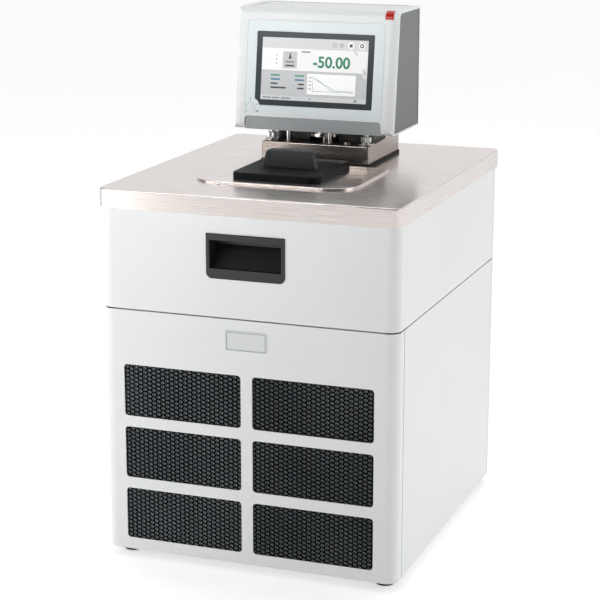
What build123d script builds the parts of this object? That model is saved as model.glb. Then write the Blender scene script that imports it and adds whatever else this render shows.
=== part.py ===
from build123d import *
import os
from math import cos, radians, sin, tan

os.makedirs("parts", exist_ok=True)

# Frame: millimetres, x across (right is +), y from the front (-) to the back (+), z up from the floor.

# Cabinet
CAB_W = 416.0
CAB_D = 486.0
CAB_R = 16.0
SKIN = 1.5
FIT = 0.3
FOOT_H = 12.0
FOOT_R = 13.5
FOOT_INSET = 24.0
FOOT_INSET_Y = 33.0
SEAM_Z = 352.0
SEAM_GAP = 2.0
LIP = 12.0

# Stainless top cover, with its raised surround and the bath's mouth
COVER_TOP = 514.2
COVER_T = 1.2
COVER_FLANGE = 25.5
COVER_OVERHANG = 2.0
COVER_R = 12.0
COVER_BEND = 2.0
SURROUND_W = 232.0
SURROUND_FRONT = -161.0
SURROUND_BACK = 10.0
SURROUND_H = 3.2
SURROUND_R = 40.0
SURROUND_BACK_R = 10.0
MOUTH_W = 112.0
MOUTH_FRONT = -134.0
MOUTH_BACK = -8.0
MOUTH_R = 10.0
MOUTH_COLLAR = 10.0
PUMP_CUT_W = 124.0
PUMP_CUT_FRONT = 32.0
PUMP_CUT_BACK = 146.0

# Bath tank
TANK_W = 224.0
TANK_FRONT = -156.0
TANK_BACK = 150.0
TANK_FLOOR = 365.0
TANK_T = 1.2
TANK_R = 14.0
TANK_RIM = 13.0
COIL_R = 4.5
COIL_TURNS = 4
COIL_PITCH = 26.0
COIL_Z = 385.0

# Vent panel: two columns and three rows of windows
WINDOW_EDGE = 177.0
WINDOW_BAR = 16.0
WINDOW_H = 72.2
WINDOW_PITCH = 87.6
WINDOW_Z = 28.4
WINDOW_R = 5.0
WINDOW_ROWS = 3
VENT_RETURN = 27.0
SIDE_GAP = 2.0
REAR_RETURN = 20.0
REAR_GAP = 1.0
MESH_T = 1.0
RIDGE_PITCH = 6.5
RIDGE_W = 2.6
RIDGE_H = 1.3
SLOT_COLUMNS = 10
SLOT_ROWS = 2

# Recessed grip
GRIP_W = 110.0
GRIP_Z = 404.7
GRIP_H = 60.0
GRIP_PROUD = 1.6
GRIP_SIDE = 5.0
GRIP_SILL = 13.5
GRIP_BROW = 8.5
GRIP_DEPTH = 29.0
GRIP_WALL = 2.5
GRIP_HOLLOW = 13.0
GRIP_R = 8.0
GRIP_MOUTH_R = 5.0

# Bare badge plate
BADGE_W = 58.0
BADGE_H = 27.0
BADGE_Z = 309.0
BADGE_T = 1.0
BADGE_R = 3.0

# Lid and its grip
LID_W = 126.0
LID_FRONT = -141.0
LID_BACK = 0.0
LID_T = 9.6
LID_R = 15.0
LID_SKIRT = 9.0
LID_SKIRT_T = 2.5
LID_PLAY = 0.6
LID_GRIP_W = 77.0
LID_GRIP_TOP_W = 65.0
LID_GRIP_H = 24.0
LID_GRIP_T = 12.0
LID_GRIP_Y = -84.0
LID_GRIP_R = 8.0

# Bridge under the head
BRIDGE_W = 160.0
BRIDGE_FRONT = 19.0
BRIDGE_BACK = 160.0
BRIDGE_H = 25.0
BRIDGE_T = 1.5
GASKET_H = 4.8
GASKET_PROUD = 1.5
GASKET_W = 9.0

# Control head
HEAD_W = 236.0
HEAD_Z = 562.0
HEAD_H = 169.0
HEAD_FOOT_Y = 4.9
HEAD_BACK = 134.0
HEAD_TILT = 7.75
HEAD_WALL = 3.0
HEAD_R = 10.0
HEAD_BACK_R = 4.0
CHEEK_RECESS = 1.7
CHEEK_FRONT = 11.3
CHEEK_BOTTOM = 2.0
CHEEK_TOP = 3.6
CHEEK_BACK = 1.6
CHEEK_R = 8.0
CHEEK_T = 2.5
PANEL_W = 202.0
PANEL_LOW = 23.0
PANEL_HIGH = 153.4
PANEL_T = 2.0
BEZEL_W = 173.0
BEZEL_LOW = 34.9
BEZEL_HIGH = 137.9
SCREEN_W = 156.0
SCREEN_LOW = 43.0
SCREEN_HIGH = 129.8
CHIN_W = 202.0
CHIN_HIGH = 19.0
CHIN_DEPTH = 4.5
DIAL_X = -92.5
DIAL_V = 31.6
DIAL_R = 4.0
DIAL_RING = 13.5
TAB_X = 106.0
TAB_W = 12.0
TAB_DROP = 12.5
TAB_T = 1.2
TOP_PLATE_W = 208.0
TOP_PLATE_FRONT = 42.0
TOP_PLATE_BACK = 129.0
TOP_PLATE_T = 1.5
TOP_PLATE_SUNK = 0.8
CHIN_R = 5.0
CHIN_SEAT = 8.0
CHIN_SUNK = 1.0
TAB_PROUD = 0.4
GLASS_PROUD = 0.2
MODULE_T = 9.0
DIAL_L = 9.0
DIAL_PROUD = 0.8
BACK_COVER_W = 212.0
BACK_COVER_H = 140.0
BACK_COVER_T = 2.0
BACK_SLOTS = 9
BACK_SLOT_PITCH = 14.0
BACK_SLOT_W = 4.0
BOARD_Y = 112.0
BOARD_W = 170.0
BOARD_H = 130.0

# Pump, hanging from the bridge into the bath
PUMP_Y = 64.0
SHAFT_R = 4.0
RUN_FIT = 0.05
MOTOR_R = 29.0
MOTOR_H = 78.0
RING_R = 22.0
RING_H = 8.0
COLUMN_R = 13.0
COLUMN_BORE = 8.0
VOLUTE_R = 29.0
VOLUTE_Z = 396.0
VOLUTE_H = 20.0
VOLUTE_WALL = 2.5
IMPELLER_R = 22.0
IMPELLER_T = 2.0
BLADES = 6
PORT_R = 8.0
PORT_L = 16.0
PORT_X = 22.0
PORT_BORE = 5.0
PORT_NUT = 4.0

# Heater, probe and float
HEATER_R = 4.0
HEATER_X = 46.0
HEATER_FRONT = 41.0
HEATER_BACK = 122.0
HEATER_LOW = 384.0
PROBE_R = 3.0
PROBE_X = -32.0
PROBE_Y = 42.0
PROBE_LOW = 402.0
FLOAT_X = 33.0
FLOAT_Y = 45.0
FLOAT_R = 10.0
FLOAT_H = 18.0
FLOAT_LOW = 446.0
FLOAT_TRAVEL = 12.0
FLOAT_PLAY = 0.3

# Pipes, foam and what stands between bridge and head
FOAM_WALL = 34.0
BUSH_L = 10.0
BEND_R = 10.0
RETURN_LOW = 440.0
HEATER_BEND = 14.0
MOUNT_W = 144.0
MOUNT_FRONT = 60.0
MOUNT_BACK = 126.0
STUD_Y = 38.0
SPACER_XS = (-46.0, 16.0)
SPACER_R = 3.0
SCREW_X = 70.0
SCREW_R = 11.0
PLUG_X = 42.0
PLUG_R = 5.0

# Cooling machine in the lower compartment
POST_LEG = 24.0
POST_T = 2.0
POST_INSET_Y = 19.0
SHELF_Z = 330.0
SHELF_T = 2.0
PAN_T = 3.0
PAN_RIM = 14.0
RING_LIP = 14.0
RING_DEPTH = 15.0
CONDENSER_W = 294.0
CONDENSER_D = 44.0
CONDENSER_H = 256.0
CONDENSER_Y = -200.0
CONDENSER_LIFT = 13.0
FIN_PITCH = 7.5
FIN_GAP = 4.5
FIN_DEEP = 12.0
HEADER_R = 8.0
HEADER_LIFT = 4.0
SHROUD_T = 2.0
SHROUD_HOLE = 116.0
SHROUD_COLLAR = 36.0
SHROUD_GAP = 2.0
FAN_R = 112.0
FAN_HUB_R = 30.0
FAN_HUB_L = 18.0
FAN_BLADES = 5
FAN_SHAFT_R = 4.0
FAN_MOTOR_R = 38.0
FAN_MOTOR_L = 55.0
COMP_X = -90.0
COMP_Y = 75.0
COMP_R = 72.0
COMP_H = 205.0
COMP_FOOT = 3.0
GROMMET_H = 14.0
GROMMET_R = 11.0
GROMMET_SPAN = 110.0
LINE_R = 4.5
DRIER_Y = -60.0
DRIER_R = 16.0
DRIER_Z = 90.0
DRIER_L = 96.0
VALVE_Z = 236.0
VALVE_H = 34.0
VALVE_R = 11.0
BOX_X = 120.0
BOX_W = 112.0
BOX_D = 100.0
BOX_Z = 60.0
BOX_H = 230.0
BOX_T = 1.5
TAP_X = 100.0
TAP_Z = 306.0
TAP_R = 8.0
TAP_BACK = -188.0
TAP_FRONT = -214.0
SPIGOT_R = 5.0
SPIGOT_L = 17.0
DRAIN_BORE = 3.5
DRAIN_PIPE_R = 6.0
DRAIN_Y = -100.0
FAN_SET = 17.0
SUCTION_Z = 170.0
DISCHARGE_Z = 200.0
INLET_HIGH = 268.0
LIQUID_Z = 58.0
INJECTION_Z = 300.0
STEM_R = 3.0
LEVER_L = 34.0
LEVER_T = 3.0

# Back of the cabinet
INLET_X = 98.0
INLET_Z = 100.0
INLET_W = 50.0
INLET_H = 30.0
SOCKET_W = 26.0
SOCKET_H = 18.0
SOCKET_DEEP = 18.0
PIN_L = 12.0
SWITCH_X = 146.0
ROCKER_W = 12.0
ROCKER_R = 9.4
ROCKER_TILT = 8.0
ROCKER_PLAY = 0.5
FLANGE_T = 1.8
PIVOT_R = 1.5
PIVOT_L = 1.4
LOUVRE_W = 130.0
LOUVRE_H = 5.0
LOUVRE_PITCH = 16.0
LOUVRE_ROWS = 9
LOUVRE_Z = 70.0
LOUVRE_X = -95.0

# Places worked out from the driving sizes
front_y = -CAB_D / 2
back_y = CAB_D / 2
side_x = CAB_W / 2
inner_x = side_x - SKIN
inner_front = front_y + SKIN
inner_back = back_y - SKIN
lower_top = SEAM_Z - SEAM_GAP / 2
upper_low = SEAM_Z + SEAM_GAP / 2
cover_low = COVER_TOP - COVER_FLANGE
cover_under = COVER_TOP - COVER_T
cover_w = CAB_W + 2 * COVER_OVERHANG
cover_d = CAB_D + 2 * COVER_OVERHANG
housing_top = COVER_TOP - 9.0
surround_top = COVER_TOP + SURROUND_H
pan_w = CAB_W - 2 * SKIN - 2 * FIT
pan_d = CAB_D - 2 * SKIN - 2 * FIT
pan_r = CAB_R - SKIN - FIT
pan_top = FOOT_H + PAN_T
post_x = pan_w / 2 - SKIN - FIT
post_y = CAB_D / 2 - POST_INSET_Y
vent_back = front_y + VENT_RETURN
bridge_low = COVER_TOP + GASKET_H
bridge_top = bridge_low + BRIDGE_H
bridge_y = (BRIDGE_FRONT + BRIDGE_BACK) / 2
bridge_d = BRIDGE_BACK - BRIDGE_FRONT
bridge_under = bridge_top - BRIDGE_T
head_top = HEAD_Z + HEAD_H
lid_low = surround_top
lid_top = lid_low + LID_T
lid_y = (LID_FRONT + LID_BACK) / 2
lid_d = LID_BACK - LID_FRONT


def face_plane(depth=0.0):
    """Plane of the head's leaning front, with its own v running up the face from the head's foot."""
    lean = radians(HEAD_TILT)
    normal = Vector(0, -cos(lean), sin(lean))
    return Plane(origin=Vector(0, HEAD_FOOT_Y, HEAD_Z) - normal * depth, x_dir=(1, 0, 0), z_dir=normal)


def face_point(v, depth=0.0):
    """Side-view place of a point up the face and behind it."""
    lean = radians(HEAD_TILT)
    return (
        HEAD_FOOT_Y + v * sin(lean) + depth * cos(lean),
        HEAD_Z + v * cos(lean) - depth * sin(lean),
    )


def face_y(z):
    """Where the head's front face lies at a height."""
    return HEAD_FOOT_Y + (z - HEAD_Z) * tan(radians(HEAD_TILT))


def front_wrap(z, y_end):
    """Plan of a sheet that goes round both front corners and ends at y_end on the sides."""
    depth = y_end - front_y
    with BuildSketch(Plane.XY.offset(z)) as plan:
        with Locations((0, front_y + depth / 2)):
            outer = Rectangle(CAB_W, depth)
        fillet(outer.vertices().group_by(Axis.Y)[0], CAB_R)
        with BuildSketch(Plane.XY.offset(z), mode=Mode.PRIVATE) as hollow:
            with Locations((0, inner_front + depth / 2)):
                inner = Rectangle(CAB_W - 2 * SKIN, depth)
            fillet(inner.vertices().group_by(Axis.Y)[0], CAB_R - SKIN)
        add(hollow.sketch, mode=Mode.SUBTRACT)
    return plan.sketch


def mirrored_places(x, y):
    """The same place in all four corners."""
    return [(sx * x, sy * y) for sx in (-1, 1) for sy in (-1, 1)]


# Rubber feet
foot_x = side_x - FOOT_INSET
foot_y = back_y - FOOT_INSET_Y
with BuildPart() as feet:
    with BuildSketch():
        with Locations(*mirrored_places(foot_x, foot_y)):
            Circle(FOOT_R)
    extrude(amount=FOOT_H)
    chamfer(feet.edges().group_by(Axis.Z)[0], 1.5)
feet.part.label = "feet"
export_step(feet.part, "parts/feet.step")

# Base pan with an upturned rim
with BuildPart() as base_pan:
    with BuildSketch(Plane.XY.offset(FOOT_H)):
        RectangleRounded(pan_w, pan_d, pan_r)
    extrude(amount=PAN_RIM)
    with BuildSketch(Plane.XY.offset(pan_top)):
        RectangleRounded(pan_w - 2 * SKIN, pan_d - 2 * SKIN, pan_r - SKIN)
    extrude(amount=PAN_RIM, mode=Mode.SUBTRACT)
base_pan.part.label = "base_pan"
export_step(base_pan.part, "parts/base_pan.step")

# Welded chassis: corner posts, the shelf that carries the bath and the ring under the cover
coil_x = TANK_W / 2 + TANK_T + FIT + COIL_R
coil_inlet_y = DRIER_Y
coil_outlet_y = COMP_Y
stub_hole = LINE_R + 3.0
with BuildPart() as chassis_frame:
    with BuildSketch(Plane.XY.offset(pan_top)):
        for sx in (-1, 1):
            for sy in (-1, 1):
                with Locations((sx * (post_x - POST_LEG / 2), sy * (post_y - POST_T / 2))):
                    Rectangle(POST_LEG, POST_T)
                with Locations((sx * (post_x - POST_T / 2), sy * (post_y - POST_LEG / 2))):
                    Rectangle(POST_T, POST_LEG)
    extrude(amount=cover_under - pan_top)
    with BuildSketch(Plane.XY.offset(SHELF_Z)):
        RectangleRounded(pan_w, pan_d - 4 * FIT, pan_r)
        with Locations((TAP_X, DRAIN_Y)):
            Circle(DRAIN_PIPE_R + 2.0, mode=Mode.SUBTRACT)
        with Locations((coil_x, coil_inlet_y), (coil_x, coil_outlet_y)):
            Circle(stub_hole, mode=Mode.SUBTRACT)
    extrude(amount=SHELF_T)
    with BuildSketch(Plane.XY.offset(cover_under - RING_DEPTH)):
        RectangleRounded(pan_w, pan_d, pan_r)
        RectangleRounded(pan_w - 2 * RING_LIP, pan_d - 2 * RING_LIP, 2.0, mode=Mode.SUBTRACT)
    extrude(amount=RING_DEPTH)
chassis_frame.part.label = "chassis_frame"
export_step(chassis_frame.part, "parts/chassis_frame.step")

# Upper housing: one sheet round the front and both sides, with a lip along the seam
lip_span = 2 * (post_y - POST_LEG) - 4.0
grip_mid = GRIP_Z + GRIP_H / 2
side_end = back_y - REAR_RETURN - REAR_GAP
housing_plan = front_wrap(upper_low, side_end)
with BuildPart() as upper_housing:
    extrude(housing_plan, amount=housing_top - upper_low)
    with BuildSketch(Plane.XY.offset(upper_low)):
        with Locations((0, inner_front + LIP / 2)):
            Rectangle(CAB_W - 2 * CAB_R - 2 * SKIN, LIP)
        with Locations((inner_x - LIP / 2, 0), (-inner_x + LIP / 2, 0)):
            Rectangle(LIP, lip_span)
    extrude(amount=SKIN)
    with BuildSketch(Plane.XZ.offset(-inner_front)):
        with Locations((0, grip_mid)):
            Rectangle(GRIP_W - 6.0, GRIP_H - 6.0)
    extrude(amount=2 * SKIN, mode=Mode.SUBTRACT)
upper_housing.part.label = "upper_housing"
export_step(upper_housing.part, "parts/upper_housing.step")

# Lower side panels
side_front = vent_back + SIDE_GAP
side_len = side_end - side_front
with BuildPart() as side_panels:
    with BuildSketch(Plane.XY.offset(FOOT_H)):
        with Locations((side_x - SKIN / 2, side_front + side_len / 2)):
            Rectangle(SKIN, side_len)
    extrude(amount=lower_top - FOOT_H)
    with BuildSketch(Plane.XY.offset(lower_top - SKIN)):
        with Locations((inner_x - LIP / 2, 0)):
            Rectangle(LIP, lip_span)
    extrude(amount=SKIN)
    mirror(about=Plane.YZ)
side_panels.part.label = "side_panels"
export_step(side_panels.part, "parts/side_panels.step")

# Vent panel with its six windows, pulled off forwards to clean the condenser
window_w = WINDOW_EDGE - WINDOW_BAR / 2
window_x = (WINDOW_EDGE + WINDOW_BAR / 2) / 2
window_zs = [WINDOW_Z + WINDOW_H / 2 + i * WINDOW_PITCH for i in range(WINDOW_ROWS)]
window_places = [(sx * window_x, z) for sx in (-1, 1) for z in window_zs]
vent_plan = front_wrap(FOOT_H, vent_back)
with BuildPart() as vent_panel:
    extrude(vent_plan, amount=lower_top - FOOT_H)
    with BuildSketch(Plane.XY.offset(lower_top - SKIN)):
        with Locations((0, inner_front + LIP / 2)):
            Rectangle(CAB_W - 2 * CAB_R - 2 * SKIN, LIP)
    extrude(amount=SKIN)
    with BuildSketch(Plane.XZ.offset(-inner_front)):
        with Locations(*window_places):
            RectangleRounded(window_w, WINDOW_H, WINDOW_R)
    extrude(amount=2 * SKIN, mode=Mode.SUBTRACT)
vent_panel.part.label = "vent_panel"
export_step(vent_panel.part, "parts/vent_panel.step")

# Mesh behind the windows: upright ridges at the real pitch, with staggered gaps between them
mesh_w = 2 * WINDOW_EDGE + 12.0
mesh_low = FOOT_H + PAN_RIM + FIT
mesh_high = window_zs[-1] + WINDOW_H / 2 + 6.0
mesh_mid = (mesh_low + mesh_high) / 2
ridge_count = int(window_w / RIDGE_PITCH)
ridge_xs = [sx * (window_x + (i - (ridge_count - 1) / 2) * RIDGE_PITCH)
            for sx in (-1, 1) for i in range(ridge_count)]
slot_h = WINDOW_H / SLOT_ROWS - 12.0
slot_step = (ridge_count - 1) // SLOT_COLUMNS
slot_places = []
for sx in (-1, 1):
    for column in range(SLOT_COLUMNS):
        gap_index = 1 + column * slot_step + 0.5
        slot_x = sx * (window_x + (gap_index - (ridge_count - 1) / 2) * RIDGE_PITCH)
        drop = 3.0 if column % 2 else -3.0
        for mid in window_zs:
            for row in range(SLOT_ROWS):
                slot_places.append((slot_x, mid + (row - 0.5) * WINDOW_H / SLOT_ROWS + drop))
with BuildPart() as vent_mesh:
    with BuildSketch(Plane.XZ.offset(-inner_front - RIDGE_H - MESH_T)):
        with Locations((0, mesh_mid)):
            Rectangle(mesh_w, mesh_high - mesh_low)
        with Locations(*slot_places):
            Rectangle(RIDGE_PITCH - RIDGE_W - 0.6, slot_h, mode=Mode.SUBTRACT)
    extrude(amount=MESH_T)
    with BuildSketch(Plane.XZ.offset(-inner_front - RIDGE_H)):
        with Locations(*[(x, mesh_mid) for x in ridge_xs]):
            Rectangle(RIDGE_W, mesh_high - mesh_low)
    extrude(amount=RIDGE_H)
vent_mesh.part.label = "vent_mesh"
export_step(vent_mesh.part, "parts/vent_mesh.step")

# Bare plate where the vent panel carries its badge
with BuildPart() as badge_plate:
    with BuildSketch(Plane.XZ.offset(-front_y)):
        with Locations((0, BADGE_Z + BADGE_H / 2)):
            RectangleRounded(BADGE_W, BADGE_H, BADGE_R)
    extrude(amount=BADGE_T)
    with BuildSketch(Plane.XZ.offset(-front_y + BADGE_T - 0.3)):
        with Locations((0, BADGE_Z + BADGE_H / 2)):
            RectangleRounded(BADGE_W - 3.0, BADGE_H - 3.0, BADGE_R - 1.2)
    extrude(amount=1.0, mode=Mode.SUBTRACT)
badge_plate.part.label = "badge_plate"
export_step(badge_plate.part, "parts/badge_plate.step")

# Recessed grip: a frame on the housing and a scooped pocket whose hollow turns up behind the brow
grip_low = GRIP_Z + GRIP_SILL
grip_brow = GRIP_Z + GRIP_H - GRIP_BROW
grip_in_w = GRIP_W - 2 * GRIP_SIDE
pocket_back = front_y + GRIP_DEPTH
pocket_roof = grip_brow + GRIP_HOLLOW
pocket_lip = inner_front + GRIP_WALL + FIT
pocket_slope = pocket_roof - 24.0
grip_face = front_y - GRIP_PROUD
with BuildPart() as recessed_grips:
    with BuildSketch(Plane.XZ.offset(-front_y)):
        with Locations((0, grip_mid)):
            plate = Rectangle(GRIP_W, GRIP_H)
        fillet(plate.vertices().group_by(Axis.Y)[0], GRIP_R)
    extrude(amount=GRIP_PROUD)
    with BuildSketch(Plane.XZ.offset(-inner_front - FIT)):
        with Locations((0, grip_mid)):
            Rectangle(GRIP_W - 8.0, GRIP_H - 8.0)
    extrude(amount=inner_front + FIT - front_y)
    with BuildSketch(Plane.YZ.offset(-grip_in_w / 2 - GRIP_WALL)):
        with BuildLine():
            Polyline(
                (inner_front + FIT, GRIP_Z + 6.0),
                (inner_front + FIT, pocket_roof + GRIP_WALL),
                (pocket_back + GRIP_WALL, pocket_roof + GRIP_WALL),
                (pocket_back + GRIP_WALL, pocket_slope - GRIP_WALL),
                (inner_front + 6.0, GRIP_Z + 6.0),
                close=True,
            )
        make_face()
    extrude(amount=grip_in_w + 2 * GRIP_WALL)
    with BuildSketch(Plane.YZ.offset(-grip_in_w / 2)):
        with BuildLine():
            Polyline(
                (grip_face - 1.0, grip_low),
                (grip_face - 1.0, grip_brow),
                (pocket_lip, grip_brow),
                (pocket_lip, pocket_roof),
                (pocket_back, pocket_roof),
                (pocket_back, pocket_slope),
                (inner_front + 4.0, grip_low),
                close=True,
            )
        make_face()
    extrude(amount=grip_in_w, mode=Mode.SUBTRACT)
    chamfer(recessed_grips.faces().sort_by(Axis.Y)[0].outer_wire().edges(), 0.7)
    mirror(about=Plane.XZ)
recessed_grips.part.label = "recessed_grips"
export_step(recessed_grips.part, "parts/recessed_grips.step")

# Rear panel with louvres and the cut-outs for grip, inlet and switch
switch_w = ROCKER_W + 2 * ROCKER_PLAY
switch_h = 2 * (ROCKER_R + ROCKER_PLAY)
switch_body = 2.0
louvre_zs = [LOUVRE_Z + i * LOUVRE_PITCH for i in range(LOUVRE_ROWS)]
rear_plan = mirror(front_wrap(FOOT_H, front_y + REAR_RETURN), about=Plane.XZ)
with BuildPart() as rear_panel:
    extrude(rear_plan, amount=housing_top - FOOT_H, dir=(0, 0, 1))
    with BuildSketch(Plane.XZ.offset(-back_y - SKIN)):
        with Locations((0, grip_mid)):
            Rectangle(GRIP_W - 6.0, GRIP_H - 6.0)
        with Locations((INLET_X, INLET_Z)):
            Rectangle(SOCKET_W + 6.0, SOCKET_H + 6.0)
        with Locations((SWITCH_X, INLET_Z)):
            Rectangle(switch_w + 2 * switch_body + 1.0, switch_h + 2 * switch_body + 1.0)
        with Locations(*[(LOUVRE_X, z) for z in louvre_zs]):
            Rectangle(LOUVRE_W, LOUVRE_H)
    extrude(amount=3 * SKIN, mode=Mode.SUBTRACT)
    with BuildSketch(Plane.YZ.offset(LOUVRE_X - LOUVRE_W / 2)):
        for z in louvre_zs:
            hood = z + LOUVRE_H / 2
            with BuildLine():
                Polyline(
                    (back_y - 0.5, hood),
                    (back_y + 1.8, hood - 3.5),
                    (back_y + 1.8, hood - 2.2),
                    (back_y - 0.5, hood + 1.5),
                    close=True,
                )
            make_face()
    extrude(amount=LOUVRE_W)
rear_panel.part.label = "rear_panel"
export_step(rear_panel.part, "parts/rear_panel.step")

# Top cover: a folded deck with a raised surround, a collared mouth and the pump's opening
surround_y = (SURROUND_FRONT + SURROUND_BACK) / 2
surround_d = SURROUND_BACK - SURROUND_FRONT
mouth_y = (MOUTH_FRONT + MOUTH_BACK) / 2
mouth_d = MOUTH_BACK - MOUTH_FRONT
pump_cut_y = (PUMP_CUT_FRONT + PUMP_CUT_BACK) / 2
pump_cut_d = PUMP_CUT_BACK - PUMP_CUT_FRONT


def surround_plan(z, inset):
    """Plan of the raised surround, drawn in by a wall."""
    with BuildSketch(Plane.XY.offset(z)) as plan:
        with Locations((0, surround_y)):
            area = Rectangle(SURROUND_W - 2 * inset, surround_d - 2 * inset)
        fillet(area.vertices().group_by(Axis.Y)[0], SURROUND_R - inset)
        fillet(plan.vertices().group_by(Axis.Y)[-1], SURROUND_BACK_R - inset)
    return plan.sketch


surround_outer = surround_plan(COVER_TOP, 0.0)
surround_inner = surround_plan(cover_under, COVER_T)
with BuildPart() as top_cover:
    with BuildSketch(Plane.XY.offset(cover_low)):
        RectangleRounded(cover_w, cover_d, COVER_R)
    extrude(amount=COVER_FLANGE)
    fillet(top_cover.faces().sort_by(Axis.Z)[-1].edges(), COVER_BEND)
    extrude(surround_outer, amount=SURROUND_H)
    fillet(top_cover.faces().sort_by(Axis.Z)[-1].edges(), 1.2)
    with BuildSketch(Plane.XY.offset(cover_low)):
        RectangleRounded(cover_w - 2 * COVER_T, cover_d - 2 * COVER_T, COVER_R - COVER_T)
    extrude(amount=COVER_FLANGE - COVER_T, mode=Mode.SUBTRACT)
    extrude(surround_inner, amount=SURROUND_H, mode=Mode.SUBTRACT)
    with BuildSketch(Plane.XY.offset(surround_top - COVER_T - MOUTH_COLLAR)):
        with Locations((0, mouth_y)):
            RectangleRounded(MOUTH_W + 2 * COVER_T, mouth_d + 2 * COVER_T, MOUTH_R + COVER_T)
    extrude(amount=MOUTH_COLLAR)
    with BuildSketch(Plane.XY.offset(cover_low)):
        with Locations((0, mouth_y)):
            RectangleRounded(MOUTH_W, mouth_d, MOUTH_R)
        with Locations((0, pump_cut_y)):
            RectangleRounded(PUMP_CUT_W, pump_cut_d, 6.0)
    extrude(amount=2 * COVER_FLANGE, mode=Mode.SUBTRACT)
top_cover.part.label = "top_cover"
export_step(top_cover.part, "parts/top_cover.step")

# Bath tank: an open box drawn with round corners and a rim welded under the cover
tank_y = (TANK_FRONT + TANK_BACK) / 2
tank_d = TANK_BACK - TANK_FRONT
tank_low = TANK_FLOOR - TANK_T
with BuildPart() as bath_tank:
    with BuildSketch(Plane.XY.offset(tank_low)):
        with Locations((0, tank_y)):
            RectangleRounded(TANK_W + 2 * TANK_T, tank_d + 2 * TANK_T, TANK_R + TANK_T)
    extrude(amount=cover_under - tank_low)
    with BuildSketch(Plane.XY.offset(cover_under - TANK_T)):
        with Locations((0, tank_y)):
            RectangleRounded(TANK_W + 2 * TANK_RIM, tank_d + 2 * TANK_RIM, TANK_R + TANK_RIM)
    extrude(amount=TANK_T)
    with BuildSketch(Plane.XY.offset(TANK_FLOOR)):
        with Locations((0, tank_y)):
            RectangleRounded(TANK_W, tank_d, TANK_R)
    extrude(amount=cover_under - TANK_FLOOR, mode=Mode.SUBTRACT)
    with BuildSketch(Plane.XY.offset(tank_low)):
        with Locations((TAP_X, DRAIN_Y)):
            Circle(DRAIN_BORE)
    extrude(amount=TANK_T, mode=Mode.SUBTRACT)
bath_tank.part.label = "bath_tank"
export_step(bath_tank.part, "parts/bath_tank.step")

# Evaporator: one tube wound round the tank, with both ends led down through the shelf
coil_front = TANK_FRONT - TANK_T - FIT - COIL_R
coil_back = TANK_BACK + TANK_T + FIT + COIL_R
coil_bend = TANK_R + TANK_T + COIL_R
stub_low = SHELF_Z - 8.0
coil_points = [(coil_x, coil_inlet_y, stub_low), (coil_x, coil_inlet_y, COIL_Z)]
for turn in range(COIL_TURNS):
    z = COIL_Z + turn * COIL_PITCH
    coil_points.append((coil_x, coil_front, z))
    coil_points.append((-coil_x, coil_front, z))
    coil_points.append((-coil_x, coil_back, z))
    coil_points.append((coil_x, coil_back, z))
with BuildPart() as evaporator_coil:
    with BuildLine() as coil_route:
        FilletPolyline(*coil_points, (coil_x, coil_back - coil_bend - 2.0, z), radius=coil_bend)
    with BuildSketch(Plane(origin=coil_route.line @ 0, z_dir=coil_route.line % 0)):
        Circle(COIL_R)
    sweep()
evaporator_coil.part.label = "evaporator_coil"
export_step(evaporator_coil.part, "parts/evaporator_coil.step")

# Foam round the tank, with a belt cut out for the coil
foam_w = 2 * (coil_x + COIL_R) + 2 * FOAM_WALL
foam_front = coil_front - COIL_R - FOAM_WALL
foam_back = coil_back + COIL_R + FOAM_WALL
foam_low = SHELF_Z + SHELF_T
foam_high = cover_under - TANK_T - 4.0
belt_low = COIL_Z - COIL_R - 3.0
with BuildPart() as insulation:
    with BuildSketch(Plane.XY.offset(foam_low)):
        with Locations((0, (foam_front + foam_back) / 2)):
            RectangleRounded(foam_w, foam_back - foam_front, TANK_R)
    extrude(amount=foam_high - foam_low)
    with BuildSketch(Plane.XY.offset(tank_low - FIT)):
        with Locations((0, tank_y)):
            RectangleRounded(TANK_W + 2 * TANK_T + 2 * FIT, tank_d + 2 * TANK_T + 2 * FIT, TANK_R + TANK_T + FIT)
    extrude(amount=foam_high, mode=Mode.SUBTRACT)
    with BuildSketch(Plane.XY.offset(belt_low)):
        with Locations((0, (coil_front + coil_back) / 2)):
            RectangleRounded(
                2 * (coil_x + COIL_R + FIT),
                coil_back - coil_front + 2 * (COIL_R + FIT),
                coil_bend + COIL_R + FIT,
            )
    extrude(amount=foam_high, mode=Mode.SUBTRACT)
    with BuildSketch(Plane.XY.offset(foam_low)):
        with Locations((TAP_X, DRAIN_Y)):
            Circle(DRAIN_PIPE_R + FIT)
        with Locations((coil_x, coil_inlet_y), (coil_x, coil_outlet_y)):
            Circle(COIL_R + FIT)
    extrude(amount=belt_low - foam_low, mode=Mode.SUBTRACT)
    with BuildSketch(Plane.XY.offset(belt_low - coil_bend)):
        with Locations((coil_x, coil_inlet_y - coil_bend / 2)):
            Rectangle(2 * (COIL_R + FIT), coil_bend + 2 * (COIL_R + FIT))
    extrude(amount=coil_bend, mode=Mode.SUBTRACT)
insulation.part.label = "insulation"
export_step(insulation.part, "parts/insulation.step")

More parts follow.
